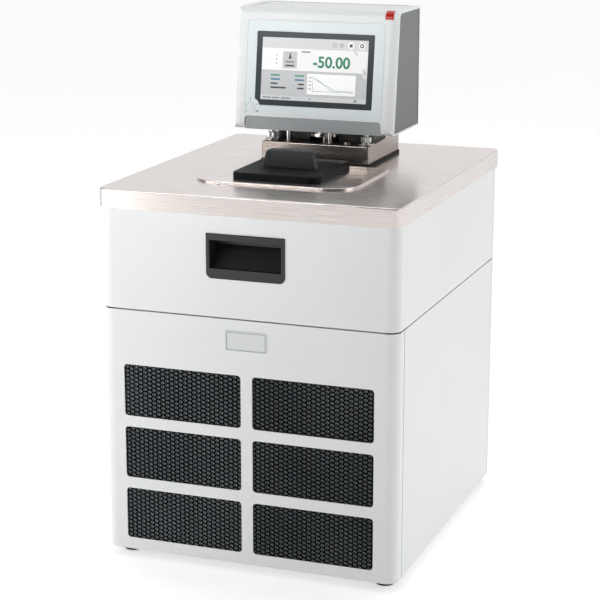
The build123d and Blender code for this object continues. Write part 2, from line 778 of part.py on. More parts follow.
# Lid: a thick plate with a skirt that drops into the mouth
with BuildPart() as lid:
    with BuildSketch(Plane.XY.offset(lid_low)):
        with Locations((0, lid_y)):
            RectangleRounded(LID_W, lid_d, LID_R)
    extrude(amount=LID_T)
    fillet(lid.faces().sort_by(Axis.Z)[-1].edges(), 3.0)
    with BuildSketch(Plane.XY.offset(lid_low - LID_SKIRT)):
        with Locations((0, mouth_y)):
            RectangleRounded(MOUTH_W - 2 * LID_PLAY, mouth_d - 2 * LID_PLAY, MOUTH_R - LID_PLAY)
            RectangleRounded(
                MOUTH_W - 2 * LID_PLAY - 2 * LID_SKIRT_T,
                mouth_d - 2 * LID_PLAY - 2 * LID_SKIRT_T,
                MOUTH_R - LID_PLAY - LID_SKIRT_T,
                mode=Mode.SUBTRACT,
            )
    extrude(amount=LID_SKIRT)
lid.part.label = "lid"
export_step(lid.part, "parts/lid.step")

# Grip on the lid: a tapered upright with a sunk panel in its front
with BuildPart() as lid_grip:
    with BuildSketch(Plane.XZ.offset(-LID_GRIP_Y)):
        with BuildLine():
            Polyline(
                (-LID_GRIP_W / 2, lid_top),
                (-LID_GRIP_TOP_W / 2, lid_top + LID_GRIP_H),
                (LID_GRIP_TOP_W / 2, lid_top + LID_GRIP_H),
                (LID_GRIP_W / 2, lid_top),
                close=True,
            )
        outline = make_face()
        fillet(outline.vertices().group_by(Axis.Y)[-1], LID_GRIP_R)
    extrude(amount=-LID_GRIP_T)
    fillet(lid_grip.faces().sort_by(Axis.Y)[0].edges().filter_by(lambda e: e.center().Z > lid_top + 1.0), 1.5)
    with BuildSketch(Plane.XZ.offset(-LID_GRIP_Y)):
        with Locations((0, lid_top + LID_GRIP_H / 2 + 1.0)):
            RectangleRounded(LID_GRIP_TOP_W - 8.0, LID_GRIP_H - 9.0, 4.0)
    extrude(amount=-1.0, mode=Mode.SUBTRACT)
lid_grip.part.label = "lid_grip"
export_step(lid_grip.part, "parts/lid_grip.step")

# Gasket and bridge
with BuildPart() as bridge_gasket:
    with BuildSketch(Plane.XY.offset(COVER_TOP)):
        with Locations((0, bridge_y)):
            RectangleRounded(BRIDGE_W + 2 * GASKET_PROUD, bridge_d + 2 * GASKET_PROUD, 4.0)
            Rectangle(BRIDGE_W + 2 * GASKET_PROUD - 2 * GASKET_W, bridge_d - 2 * GASKET_W, mode=Mode.SUBTRACT)
    extrude(amount=GASKET_H)
bridge_gasket.part.label = "bridge_gasket"
export_step(bridge_gasket.part, "parts/bridge_gasket.step")

port_z = bridge_low + BRIDGE_H / 2
port_places = [(-PORT_X, port_z), (PORT_X, port_z)]
port_neck = PORT_BORE + 1.0
shaft_hole = SHAFT_R + 3.0
with BuildPart() as bridge:
    with BuildSketch(Plane.XY.offset(bridge_low)):
        with Locations((0, bridge_y)):
            RectangleRounded(BRIDGE_W, bridge_d, 2.5)
    extrude(amount=BRIDGE_H)
    fillet(bridge.faces().sort_by(Axis.Z)[-1].edges(), 1.6)
    with BuildSketch(Plane.XY.offset(bridge_low)):
        with Locations((0, bridge_y)):
            Rectangle(BRIDGE_W - 2 * BRIDGE_T, bridge_d - 2 * BRIDGE_T)
    extrude(amount=BRIDGE_H - BRIDGE_T, mode=Mode.SUBTRACT)
    with BuildSketch(Plane.XY.offset(bridge_under)):
        with Locations((0, PUMP_Y)):
            Circle(shaft_hole)
    extrude(amount=2 * BRIDGE_T, mode=Mode.SUBTRACT)
    with BuildSketch(Plane.XZ.offset(-BRIDGE_BACK - 1.0)):
        with Locations(*port_places):
            Circle(port_neck + FIT)
    extrude(amount=4 * BRIDGE_T, mode=Mode.SUBTRACT)
    with BuildSketch(Plane.XY.offset(bridge_top)):
        with Locations((PLUG_X, STUD_Y)):
            Circle(PLUG_R)
    extrude(amount=2.5)
bridge.part.label = "bridge"
export_step(bridge.part, "parts/bridge.step")

# Threaded pump ports on the back of the bridge, each with a hexagon against the wall
port_root = BRIDGE_BACK + PORT_NUT
port_tail = BRIDGE_BACK - BRIDGE_T - 8.0
with BuildPart() as pump_ports:
    with BuildSketch(Plane.XZ.offset(-port_root)):
        with Locations(*port_places):
            RegularPolygon(PORT_R + 2.5, 6)
    extrude(amount=PORT_NUT)
    with BuildSketch(Plane.XZ.offset(-port_root - PORT_L)):
        with Locations(*port_places):
            Circle(PORT_R)
    extrude(amount=PORT_L)
    with BuildSketch(Plane.XZ.offset(-port_root)):
        with Locations(*port_places):
            Circle(port_neck)
    extrude(amount=port_root - port_tail)
    with BuildSketch(Plane.XZ.offset(-port_root - PORT_L)):
        with Locations(*port_places):
            Circle(PORT_BORE)
    extrude(amount=port_root + PORT_L - port_tail, mode=Mode.SUBTRACT)
pump_ports.part.label = "pump_ports"
export_step(pump_ports.part, "parts/pump_ports.step")

# Pump: housing with its column, outlet pipe and return pipe
volute_top = VOLUTE_Z + VOLUTE_H
volute_cavity = VOLUTE_R - VOLUTE_WALL
pipe_z = VOLUTE_Z + VOLUTE_H / 2
pipe_y = PUMP_CUT_BACK - LINE_R - 5.0
boss_end = PUMP_Y + VOLUTE_R + 2.0
with BuildPart() as pump_housing:
    with BuildSketch(Plane.XY.offset(VOLUTE_Z)):
        with Locations((0, PUMP_Y)):
            Circle(VOLUTE_R)
    extrude(amount=VOLUTE_H)
    with BuildSketch(Plane.XZ.offset(-boss_end)):
        with Locations((PORT_X, pipe_z)):
            Circle(LINE_R + 2.0)
    extrude(amount=boss_end - PUMP_Y)
    with BuildSketch(Plane.XY.offset(volute_top)):
        with Locations((0, PUMP_Y)):
            Circle(COLUMN_R)
    extrude(amount=bridge_under - volute_top)
    with BuildSketch(Plane.XY.offset(bridge_under - 2.5)):
        with Locations((0, PUMP_Y)):
            Circle(COLUMN_R + 6.0)
    extrude(amount=2.5)
    with BuildSketch(Plane.XY.offset(VOLUTE_Z + VOLUTE_WALL)):
        with Locations((0, PUMP_Y)):
            Circle(volute_cavity)
    extrude(amount=VOLUTE_H - 2 * VOLUTE_WALL, mode=Mode.SUBTRACT)
    with BuildSketch(Plane.XY.offset(VOLUTE_Z)):
        with Locations((0, PUMP_Y)):
            Circle(IMPELLER_R * 0.45)
    extrude(amount=VOLUTE_WALL, mode=Mode.SUBTRACT)
    with BuildSketch(Plane.XY.offset(volute_top - VOLUTE_WALL)):
        with Locations((0, PUMP_Y)):
            Circle(SHAFT_R + RUN_FIT)
    extrude(amount=BUSH_L, mode=Mode.SUBTRACT)
    with BuildSketch(Plane.XY.offset(volute_top - VOLUTE_WALL + BUSH_L)):
        with Locations((0, PUMP_Y)):
            Circle(COLUMN_BORE)
    extrude(amount=bridge_under - volute_top, mode=Mode.SUBTRACT)
    with BuildSketch(Plane.XZ.offset(-boss_end)):
        with Locations((PORT_X, pipe_z)):
            Circle(LINE_R - 1.5)
    extrude(amount=boss_end - PUMP_Y, mode=Mode.SUBTRACT)
pump_housing.part.label = "pump_housing"
export_step(pump_housing.part, "parts/pump_housing.step")

motor_low = HEAD_Z + HEAD_WALL
motor_top = motor_low + MOTOR_H
shaft_low = VOLUTE_Z + VOLUTE_WALL + 1.5
shaft_top = motor_top - 20.0
with BuildPart() as pump_shaft:
    with BuildSketch(Plane.XY.offset(shaft_low)):
        with Locations((0, PUMP_Y)):
            Circle(SHAFT_R)
    extrude(amount=shaft_top - shaft_low)
pump_shaft.part.label = "pump_shaft"
export_step(pump_shaft.part, "parts/pump_shaft.step")

blade_l = IMPELLER_R - SHAFT_R - 2.0
with BuildPart() as impeller:
    with BuildSketch(Plane.XY.offset(shaft_low)):
        with Locations((0, PUMP_Y)):
            Circle(SHAFT_R + 3.0)
            Circle(SHAFT_R, mode=Mode.SUBTRACT)
    extrude(amount=VOLUTE_H - 2 * VOLUTE_WALL - 4.0)
    with BuildSketch(Plane.XY.offset(shaft_low + 7.0)):
        with Locations((0, PUMP_Y)):
            Circle(IMPELLER_R)
            Circle(SHAFT_R, mode=Mode.SUBTRACT)
    extrude(amount=IMPELLER_T)
    with BuildSketch(Plane.XY.offset(shaft_low)):
        with Locations((0, PUMP_Y)):
            with PolarLocations(SHAFT_R + 2.0 + blade_l / 2 - 1.0, BLADES):
                Rectangle(blade_l - 2.0, 1.6, rotation=18.0)
    extrude(amount=7.5)
impeller.part.label = "impeller"
export_step(impeller.part, "parts/impeller.step")


def pipe_route(radius, *points):
    """Solid round pipe along straight runs joined by arcs."""
    with BuildPart() as pipe:
        with BuildLine() as route:
            if len(points) > 2:
                FilletPolyline(*points, radius=BEND_R)
            else:
                Line(*points)
        with BuildSketch(Plane(origin=route.line @ 0, z_dir=route.line % 0)):
            Circle(radius)
        sweep()
    return pipe.part


with BuildPart() as pump_pipes:
    add(pipe_route(LINE_R, (PORT_X, boss_end, pipe_z), (PORT_X, pipe_y, pipe_z), (PORT_X, pipe_y, port_z),
                   (PORT_X, port_tail, port_z)))
    add(pipe_route(LINE_R, (-PORT_X, port_tail, port_z), (-PORT_X, pipe_y, port_z), (-PORT_X, pipe_y, RETURN_LOW)))
pump_pipes.part.label = "pump_pipes"
export_step(pump_pipes.part, "parts/pump_pipes.step")

# Heater loop, temperature probe and level float, all hung from the bridge
with BuildPart() as heater_coil:
    with BuildLine() as heater_route:
        FilletPolyline(
            (-HEATER_X, HEATER_BACK, bridge_under),
            (-HEATER_X, HEATER_BACK, HEATER_LOW),
            (-HEATER_X, HEATER_FRONT, HEATER_LOW),
            (HEATER_X, HEATER_FRONT, HEATER_LOW),
            (HEATER_X, HEATER_BACK, HEATER_LOW),
            (HEATER_X, HEATER_BACK, bridge_under),
            radius=HEATER_BEND,
        )
    with BuildSketch(Plane(origin=heater_route.line @ 0, z_dir=heater_route.line % 0)):
        Circle(HEATER_R)
    sweep()
heater_coil.part.label = "heater_coil"
export_step(heater_coil.part, "parts/heater_coil.step")

with BuildPart() as temperature_probe:
    with BuildSketch(Plane.XY.offset(PROBE_LOW)):
        with Locations((PROBE_X, PROBE_Y)):
            Circle(PROBE_R)
    extrude(amount=bridge_under - PROBE_LOW)
temperature_probe.part.label = "temperature_probe"
export_step(temperature_probe.part, "parts/temperature_probe.step")

float_top = FLOAT_LOW + FLOAT_H
stop_h = 3.0
stop_lows = [FLOAT_LOW - FLOAT_PLAY - stop_h, float_top + FLOAT_TRAVEL + FLOAT_PLAY]
with BuildPart() as float_stem:
    with BuildSketch(Plane.XY.offset(stop_lows[0])):
        with Locations((FLOAT_X, FLOAT_Y)):
            Circle(PROBE_R)
    extrude(amount=bridge_under - stop_lows[0])
    for stop_low in stop_lows:
        with BuildSketch(Plane.XY.offset(stop_low)):
            with Locations((FLOAT_X, FLOAT_Y)):
                Circle(2 * PROBE_R)
        extrude(amount=stop_h)
float_stem.part.label = "float_stem"
export_step(float_stem.part, "parts/float_stem.step")

with BuildPart() as level_float:
    with BuildSketch(Plane.XY.offset(FLOAT_LOW)):
        with Locations((FLOAT_X, FLOAT_Y)):
            Circle(FLOAT_R)
            Circle(PROBE_R + FLOAT_PLAY, mode=Mode.SUBTRACT)
    extrude(amount=FLOAT_H)
level_float.part.label = "level_float"
export_step(level_float.part, "parts/level_float.step")

# What stands between bridge and head: black mount, flange ring, spacers and clamp screws
with BuildPart() as motor_mount:
    with BuildSketch(Plane.XY.offset(bridge_top)):
        with Locations((0, (MOUNT_FRONT + MOUNT_BACK) / 2)):
            RectangleRounded(MOUNT_W, MOUNT_BACK - MOUNT_FRONT, 5.0)
        with Locations((0, PUMP_Y)):
            Circle(RING_R + FIT, mode=Mode.SUBTRACT)
    extrude(amount=HEAD_Z - bridge_top)
motor_mount.part.label = "motor_mount"
export_step(motor_mount.part, "parts/motor_mount.step")

ring_low = HEAD_Z - RING_H - 4.0
with BuildPart() as motor_flange:
    with BuildSketch(Plane.XY.offset(ring_low)):
        with Locations((0, PUMP_Y)):
            Circle(RING_R)
    extrude(amount=RING_H / 2)
    with BuildSketch(Plane.XY.offset(ring_low + RING_H / 2)):
        with Locations((0, PUMP_Y)):
            Circle(RING_R - 5.0)
    extrude(amount=HEAD_Z - ring_low - RING_H / 2)
    with BuildSketch(Plane.XY.offset(ring_low)):
        with Locations((0, PUMP_Y)):
            Circle(shaft_hole)
    extrude(amount=HEAD_Z - ring_low, mode=Mode.SUBTRACT)
motor_flange.part.label = "motor_flange"
export_step(motor_flange.part, "parts/motor_flange.step")

head_gap = HEAD_Z - bridge_top
with BuildPart() as spacers:
    with BuildSketch(Plane.XY.offset(bridge_top)):
        with Locations(*[(x, STUD_Y) for x in SPACER_XS]):
            Circle(SPACER_R)
    extrude(amount=head_gap)
spacers.part.label = "spacers"
export_step(spacers.part, "parts/spacers.step")

with BuildPart() as clamp_screws:
    with BuildSketch(Plane.XY.offset(bridge_top)):
        with Locations((-SCREW_X, STUD_Y), (SCREW_X, STUD_Y)):
            Circle(SCREW_R)
    extrude(amount=2.5)
    with BuildSketch(Plane.XY.offset(bridge_top)):
        with Locations((-SCREW_X, STUD_Y), (SCREW_X, STUD_Y)):
            Circle(SCREW_R * 0.62)
    extrude(amount=7.0)
    with BuildSketch(Plane.XY.offset(bridge_top)):
        with Locations((-SCREW_X, STUD_Y), (SCREW_X, STUD_Y)):
            Circle(SCREW_R * 0.42)
    extrude(amount=head_gap)
clamp_screws.part.label = "clamp_screws"
export_step(clamp_screws.part, "parts/clamp_screws.step")

# Head shell: one moulding with a leaning front, open at the cheeks, the top, the chin and the back
inner_face = PANEL_T + 3.0
cheek_low = HEAD_Z + CHEEK_BOTTOM
cheek_high = head_top - CHEEK_TOP
cheek_back = HEAD_BACK - CHEEK_BACK


def side_outline(plane_x, low, high, front_gap, back, top_front_r=0.0):
    """Side view of the head between two heights, its front kept parallel to the leaning face."""
    with BuildSketch(Plane.YZ.offset(plane_x)) as view:
        with BuildLine():
            Polyline(
                (face_y(low) + front_gap, low),
                (face_y(high) + front_gap, high),
                (back, high),
                (back, low),
                close=True,
            )
        make_face()
        if top_front_r > 0:
            fillet(view.vertices().group_by(Axis.Y)[-1].sort_by(Axis.X)[0], top_front_r)
    return view.sketch


def chin_outline(inset):
    """Front view of the chin on the leaning face, round at its two top corners."""
    width = CHIN_W - 2 * inset
    high = CHIN_HIGH - inset
    with BuildSketch(face_plane()) as view:
        with Locations((0, high / 2 - CHIN_R)):
            area = Rectangle(width, high + 2 * CHIN_R)
        fillet(area.vertices().group_by(Axis.Y)[-1], CHIN_R - inset)
    return view.sketch


def bezel_outline(plane, play):
    """Outline of the touch screen, cut back round the dial."""
    with BuildSketch(plane) as view:
        with Locations((0, (BEZEL_LOW + BEZEL_HIGH) / 2)):
            RectangleRounded(BEZEL_W + 2 * play, BEZEL_HIGH - BEZEL_LOW + 2 * play, 2.0)
        with Locations((DIAL_X, DIAL_V)):
            Circle(DIAL_RING - play, mode=Mode.SUBTRACT)
    return view.sketch


def tab_outline(plane_x, outward, inward):
    """Side view of the tab that wraps over the head's round front top edge."""
    lean = radians(HEAD_TILT)
    centre_z = head_top - HEAD_R
    centre_y = face_y(centre_z) + HEAD_R / cos(lean)

    def place(radius, angle, drop=0.0):
        turn = radians(angle)
        return (
            centre_y + radius * cos(turn) - drop * sin(lean),
            centre_z + radius * sin(turn) - drop * cos(lean),
        )

    face_angle = 180.0 - HEAD_TILT
    middle = (90.0 + face_angle) / 2
    outer = HEAD_R + outward
    inner = HEAD_R - inward
    drop = TAB_DROP - HEAD_R
    with BuildSketch(Plane.YZ.offset(plane_x)) as view:
        with BuildLine():
            ThreePointArc(place(outer, 90.0), place(outer, middle), place(outer, face_angle))
            Polyline(
                place(outer, face_angle),
                place(outer, face_angle, drop),
                place(inner, face_angle, drop),
                place(inner, face_angle),
            )
            ThreePointArc(place(inner, face_angle), place(inner, middle), place(inner, 90.0))
            Line(place(inner, 90.0), place(outer, 90.0))
        make_face()
    return view.sketch


head_side = side_outline(-HEAD_W / 2, HEAD_Z, head_top, 0.0, HEAD_BACK)
head_hollow = side_outline(
    -HEAD_W / 2 + HEAD_WALL, HEAD_Z + HEAD_WALL, head_top - HEAD_WALL, inner_face, HEAD_BACK - HEAD_WALL
)
cheek_cut = CHEEK_RECESS + CHEEK_T + FIT
cheek_holes = [
    side_outline(x, cheek_low, cheek_high, CHEEK_FRONT, cheek_back, CHEEK_R)
    for x in (-HEAD_W / 2, HEAD_W / 2 - cheek_cut)
]
panel_mid = (PANEL_LOW + PANEL_HIGH) / 2
panel_h = PANEL_HIGH - PANEL_LOW
top_plate_y = (TOP_PLATE_FRONT + TOP_PLATE_BACK) / 2
top_plate_d = TOP_PLATE_BACK - TOP_PLATE_FRONT
top_plate_low = head_top - TOP_PLATE_SUNK - TOP_PLATE_T
back_cover_mid = HEAD_Z + HEAD_H / 2
with BuildPart() as head_shell:
    extrude(head_side, amount=HEAD_W)
    fillet(head_shell.faces().sort_by(Axis.Y)[0].edges(), HEAD_R)
    fillet(head_shell.faces().sort_by(Axis.Y)[-1].edges(), HEAD_BACK_R)
    extrude(head_hollow, amount=HEAD_W - 2 * HEAD_WALL, mode=Mode.SUBTRACT)
    for cheek_hole in cheek_holes:
        extrude(cheek_hole, amount=cheek_cut, mode=Mode.SUBTRACT)
    with BuildSketch(face_plane(PANEL_T)):
        with Locations((0, panel_mid)):
            RectangleRounded(PANEL_W + 2 * FIT, panel_h + 2 * FIT, 3.0)
    extrude(amount=PANEL_T, mode=Mode.SUBTRACT)
    with BuildSketch(face_plane(inner_face + 1.0)):
        with Locations((0, (BEZEL_LOW + BEZEL_HIGH) / 2)):
            Rectangle(BEZEL_W - 2.0, BEZEL_HIGH - BEZEL_LOW - 2.0)
        with Locations((DIAL_X, DIAL_V)):
            Circle(DIAL_R + 1.0)
    extrude(amount=inner_face + 1.0, mode=Mode.SUBTRACT)
    extrude(chin_outline(0.0), amount=-CHIN_SEAT, mode=Mode.SUBTRACT)
    extrude(tab_outline(TAB_X - TAB_W / 2, 1.0, TAB_T), amount=TAB_W, mode=Mode.SUBTRACT)
    with BuildSketch(Plane.XY.offset(top_plate_low)):
        with Locations((0, top_plate_y)):
            RectangleRounded(TOP_PLATE_W + 2 * FIT, top_plate_d + 2 * FIT, 4.0)
    extrude(amount=HEAD_WALL, mode=Mode.SUBTRACT)
    with BuildSketch(Plane.XY.offset(HEAD_Z)):
        with Locations((0, PUMP_Y)):
            Circle(shaft_hole)
    extrude(amount=HEAD_WALL, mode=Mode.SUBTRACT)
    with BuildSketch(Plane.XZ.offset(-HEAD_BACK)):
        with Locations((0, back_cover_mid)):
            RectangleRounded(BACK_COVER_W + 2 * FIT, BACK_COVER_H + 2 * FIT, 4.0)
    extrude(amount=BACK_COVER_T, mode=Mode.SUBTRACT)
    with BuildSketch(Plane.XZ.offset(-HEAD_BACK)):
        with Locations((0, back_cover_mid)):
            RectangleRounded(BACK_COVER_W - 8.0, BACK_COVER_H - 8.0, 3.0)
    extrude(amount=2 * HEAD_WALL, mode=Mode.SUBTRACT)
head_shell.part.label = "head_shell"
export_step(head_shell.part, "parts/head_shell.step")

cheek_plan = side_outline(
    HEAD_W / 2 - CHEEK_RECESS - CHEEK_T,
    cheek_low + FIT,
    cheek_high - FIT,
    CHEEK_FRONT + FIT,
    cheek_back - FIT,
    CHEEK_R,
)
with BuildPart() as head_cheeks:
    extrude(cheek_plan, amount=CHEEK_T)
    mirror(about=Plane.YZ)
head_cheeks.part.label = "head_cheeks"
export_step(head_cheeks.part, "parts/head_cheeks.step")

with BuildPart() as head_top_plate:
    with BuildSketch(Plane.XY.offset(top_plate_low)):
        with Locations((0, top_plate_y)):
            RectangleRounded(TOP_PLATE_W, top_plate_d, 4.0 - FIT)
    extrude(amount=TOP_PLATE_T)
head_top_plate.part.label = "head_top_plate"
export_step(head_top_plate.part, "parts/head_top_plate.step")

with BuildPart() as head_back_cover:
    with BuildSketch(Plane.XZ.offset(-HEAD_BACK)):
        with Locations((0, back_cover_mid)):
            RectangleRounded(BACK_COVER_W, BACK_COVER_H, 4.0 - FIT)
            with GridLocations(BACK_SLOT_PITCH, 0, BACK_SLOTS, 1):
                SlotOverall(BACK_COVER_H * 0.6, BACK_SLOT_W, rotation=90, mode=Mode.SUBTRACT)
    extrude(amount=BACK_COVER_T)
head_back_cover.part.label = "head_back_cover"
export_step(head_back_cover.part, "parts/head_back_cover.step")

with BuildPart() as front_panel:
    with BuildSketch(face_plane(PANEL_T)):
        with Locations((0, panel_mid)):
            RectangleRounded(PANEL_W, panel_h, 3.0 - FIT)
        with Locations((DIAL_X, DIAL_V)):
            Circle(DIAL_R + RUN_FIT, mode=Mode.SUBTRACT)
    extrude(amount=PANEL_T)
    extrude(bezel_outline(face_plane(PANEL_T), 0.2), amount=PANEL_T, mode=Mode.SUBTRACT)
front_panel.part.label = "front_panel"
export_step(front_panel.part, "parts/front_panel.step")

with BuildPart() as touch_screen:
    extrude(bezel_outline(face_plane(PANEL_T), 0.0), amount=PANEL_T + GLASS_PROUD)
touch_screen.part.label = "touch_screen"
export_step(touch_screen.part, "parts/touch_screen.step")

with BuildPart() as display_module:
    with BuildSketch(face_plane(PANEL_T + MODULE_T)):
        with Locations((0, (SCREEN_LOW + SCREEN_HIGH) / 2)):
            Rectangle(SCREEN_W + 6.0, SCREEN_HIGH - SCREEN_LOW + 6.0)
    extrude(amount=MODULE_T)
display_module.part.label = "display_module"
export_step(display_module.part, "parts/display_module.step")

with BuildPart() as chin_panel:
    extrude(chin_outline(FIT), amount=-CHIN_SEAT + FIT)
    with BuildSketch(Plane.YZ.offset(-CHIN_W / 2)):
        with BuildLine():
            Polyline(
                face_point(CHIN_HIGH + 2.0, -2.0),
                face_point(CHIN_HIGH + 2.0, CHIN_SUNK),
                face_point(CHIN_HIGH, CHIN_SUNK),
                face_point(0.0, CHIN_DEPTH),
                face_point(-2 * CHIN_R, CHIN_DEPTH),
                face_point(-2 * CHIN_R, -2.0),
                close=True,
            )
        make_face()
    extrude(amount=CHIN_W, mode=Mode.SUBTRACT)
    with BuildSketch(Plane.XY.offset(HEAD_Z)):
        with Locations((0, HEAD_FOOT_Y)):
            Rectangle(CHIN_W, 8 * CHIN_R)
    extrude(amount=-4 * CHIN_R, mode=Mode.SUBTRACT)
chin_panel.part.label = "chin_panel"
export_step(chin_panel.part, "parts/chin_panel.step")

with BuildPart() as status_tab:
    extrude(tab_outline(TAB_X - TAB_W / 2 + 0.2, TAB_PROUD, TAB_T), amount=TAB_W - 0.4)
status_tab.part.label = "status_tab"
export_step(status_tab.part, "parts/status_tab.step")

# Over-temperature dial with a slot for a screwdriver
with BuildPart() as cutout_dial:
    with BuildSketch(face_plane(DIAL_L)):
        with Locations((DIAL_X, DIAL_V)):
            Circle(DIAL_R)
    extrude(amount=DIAL_L + DIAL_PROUD)
    with BuildSketch(face_plane(-DIAL_PROUD + 0.7)):
        with Locations((DIAL_X, DIAL_V)):
            Rectangle(1.2, 2 * DIAL_R - 1.6)
    extrude(amount=1.0, mode=Mode.SUBTRACT)
cutout_dial.part.label = "cutout_dial"
export_step(cutout_dial.part, "parts/cutout_dial.step")

with BuildPart() as pump_motor:
    with BuildSketch(Plane.XY.offset(motor_low)):
        with Locations((0, PUMP_Y)):
            Circle(MOTOR_R)
    extrude(amount=MOTOR_H)
    chamfer(pump_motor.faces().sort_by(Axis.Z)[-1].edges(), 2.0)
    with BuildSketch(Plane.XY.offset(motor_low)):
        with Locations((0, PUMP_Y)):
            Circle(SHAFT_R + RUN_FIT)
    extrude(amount=shaft_top + 1.0 - motor_low, mode=Mode.SUBTRACT)
pump_motor.part.label = "pump_motor"
export_step(pump_motor.part, "parts/pump_motor.step")

with BuildPart() as circuit_board:
    with BuildSketch(Plane.XZ.offset(-BOARD_Y)):
        with Locations((0, motor_low + BOARD_H / 2)):
            Rectangle(BOARD_W, BOARD_H)
    extrude(amount=1.6)
    with BuildSketch(Plane.XZ.offset(-BOARD_Y + 1.6)):
        with Locations((-0.3 * BOARD_W, motor_low + 0.3 * BOARD_H)):
            Rectangle(30.0, 24.0)
        with Locations((0.3 * BOARD_W, motor_low + 0.35 * BOARD_H)):
            Rectangle(22.0, 40.0)
        with Locations((0.1 * BOARD_W, motor_low + 0.75 * BOARD_H)):
            Rectangle(40.0, 16.0)
    extrude(amount=8.0)
circuit_board.part.label = "circuit_board"
export_step(circuit_board.part, "parts/circuit_board.step")

# Condenser: finned block between two upright headers that stand on the pan
condenser_low = pan_top + CONDENSER_LIFT
condenser_mid = condenser_low + CONDENSER_H / 2
header_x = CONDENSER_W / 2 + HEADER_R
fin_gaps = int(CONDENSER_W / FIN_PITCH) - 1
fin_slot_y = CONDENSER_D / 2 - FIN_DEEP / 2
with BuildPart() as condenser:
    with BuildSketch(Plane.XY.offset(condenser_low)):
        with Locations((0, CONDENSER_Y)):
            Rectangle(CONDENSER_W, CONDENSER_D)
            with GridLocations(FIN_PITCH, 2 * fin_slot_y, fin_gaps, 2):
                Rectangle(FIN_GAP, FIN_DEEP, mode=Mode.SUBTRACT)
    extrude(amount=CONDENSER_H)
    with BuildSketch(Plane.XY.offset(pan_top)):
        with Locations((-header_x, CONDENSER_Y), (header_x, CONDENSER_Y)):
            Circle(HEADER_R)
        with Locations((-header_x + HEADER_R, CONDENSER_Y), (header_x - HEADER_R, CONDENSER_Y)):
            Rectangle(HEADER_R, HEADER_R)
    extrude(amount=condenser_low + CONDENSER_H + HEADER_LIFT - pan_top)
condenser.part.label = "condenser"
export_step(condenser.part, "parts/condenser.step")

# Fan shroud with collar, motor seat and four spokes
condenser_back = CONDENSER_Y + CONDENSER_D / 2
shroud_back = condenser_back + SHROUD_GAP + SHROUD_T
shroud_w = CONDENSER_W
shroud_h = condenser_low + CONDENSER_H - pan_top
spoke_t = 3.0
collar_end = condenser_back + SHROUD_GAP + SHROUD_COLLAR
seat_plane = Plane.XZ.offset(-collar_end)
spoke_r = (FAN_MOTOR_R + SHROUD_HOLE) / 2
with BuildPart() as fan_shroud:
    with BuildSketch(Plane.XZ.offset(-shroud_back)):
        with Locations((0, pan_top + shroud_h / 2)):
            Rectangle(shroud_w, shroud_h)
    extrude(amount=SHROUD_T)
    with BuildSketch(seat_plane):
        with Locations((0, condenser_mid)):
            Circle(SHROUD_HOLE + SHROUD_T)
    extrude(amount=SHROUD_COLLAR)
    with BuildSketch(seat_plane):
        with Locations((0, condenser_mid)):
            Circle(SHROUD_HOLE)
    extrude(amount=SHROUD_COLLAR, mode=Mode.SUBTRACT)
    with BuildSketch(seat_plane):
        with Locations((0, condenser_mid)):
            Circle(FAN_MOTOR_R)
            with PolarLocations(spoke_r, 4, start_angle=45.0):
                Rectangle(SHROUD_HOLE - FAN_MOTOR_R + 3.0, 6.0)
            Circle(FAN_SHAFT_R + 2.0, mode=Mode.SUBTRACT)
    extrude(amount=spoke_t)
fan_shroud.part.label = "fan_shroud"
export_step(fan_shroud.part, "parts/fan_shroud.step")

with BuildPart() as fan_motor:
    with BuildSketch(Plane.XZ.offset(-collar_end - FAN_MOTOR_L)):
        with Locations((0, condenser_mid)):
            Circle(FAN_MOTOR_R)
    extrude(amount=FAN_MOTOR_L)
    chamfer(fan_motor.faces().sort_by(Axis.Y)[-1].edges(), 3.0)
    with BuildSketch(Plane.XZ.offset(-collar_end - FAN_MOTOR_L + 10.0)):
        with Locations((0, condenser_mid)):
            Circle(FAN_SHAFT_R + RUN_FIT)
    extrude(amount=FAN_MOTOR_L, mode=Mode.SUBTRACT)
fan_motor.part.label = "fan_motor"
export_step(fan_motor.part, "parts/fan_motor.step")

fan_mid_y = condenser_back + FAN_SET
fan_shaft_front = fan_mid_y - FAN_HUB_L / 2
with BuildPart() as fan_shaft:
    with BuildSketch(Plane.XZ.offset(-collar_end - FAN_MOTOR_L + 12.0)):
        with Locations((0, condenser_mid)):
            Circle(FAN_SHAFT_R)
    extrude(amount=collar_end + FAN_MOTOR_L - 12.0 - fan_shaft_front)
fan_shaft.part.label = "fan_shaft"
export_step(fan_shaft.part, "parts/fan_shaft.step")

# Fan: hub and twisted blades, each lofted from root to tip
hub_back = fan_mid_y + FAN_HUB_L / 2
with BuildPart() as fan:
    with BuildSketch(Plane.XZ.offset(-hub_back)):
        with Locations((0, condenser_mid)):
            Circle(FAN_HUB_R)
    extrude(amount=FAN_HUB_L)
    for blade in range(FAN_BLADES):
        turn = radians(blade * 360.0 / FAN_BLADES)
        outward = Vector(sin(turn), 0, cos(turn))
        around = Vector(cos(turn), 0, -sin(turn))
        middle = Vector(0, fan_mid_y, condenser_mid)
        for radius, chord, pitch in ((FAN_HUB_R - 3.0, 30.0, 36.0), (FAN_R + 8.0, 84.0, 17.0)):
            with BuildSketch(Plane(origin=middle + outward * radius, x_dir=around, z_dir=outward)):
                Rectangle(chord, 2.2, rotation=pitch)
        loft()
    with BuildSketch(Plane.XZ.offset(-hub_back - FAN_HUB_L)):
        with Locations((0, condenser_mid)):
            Circle(FAN_R)
            Circle(FAN_SHAFT_R, mode=Mode.SUBTRACT)
    extrude(amount=3 * FAN_HUB_L, mode=Mode.INTERSECT)
fan.part.label = "fan"
export_step(fan.part, "parts/fan.step")

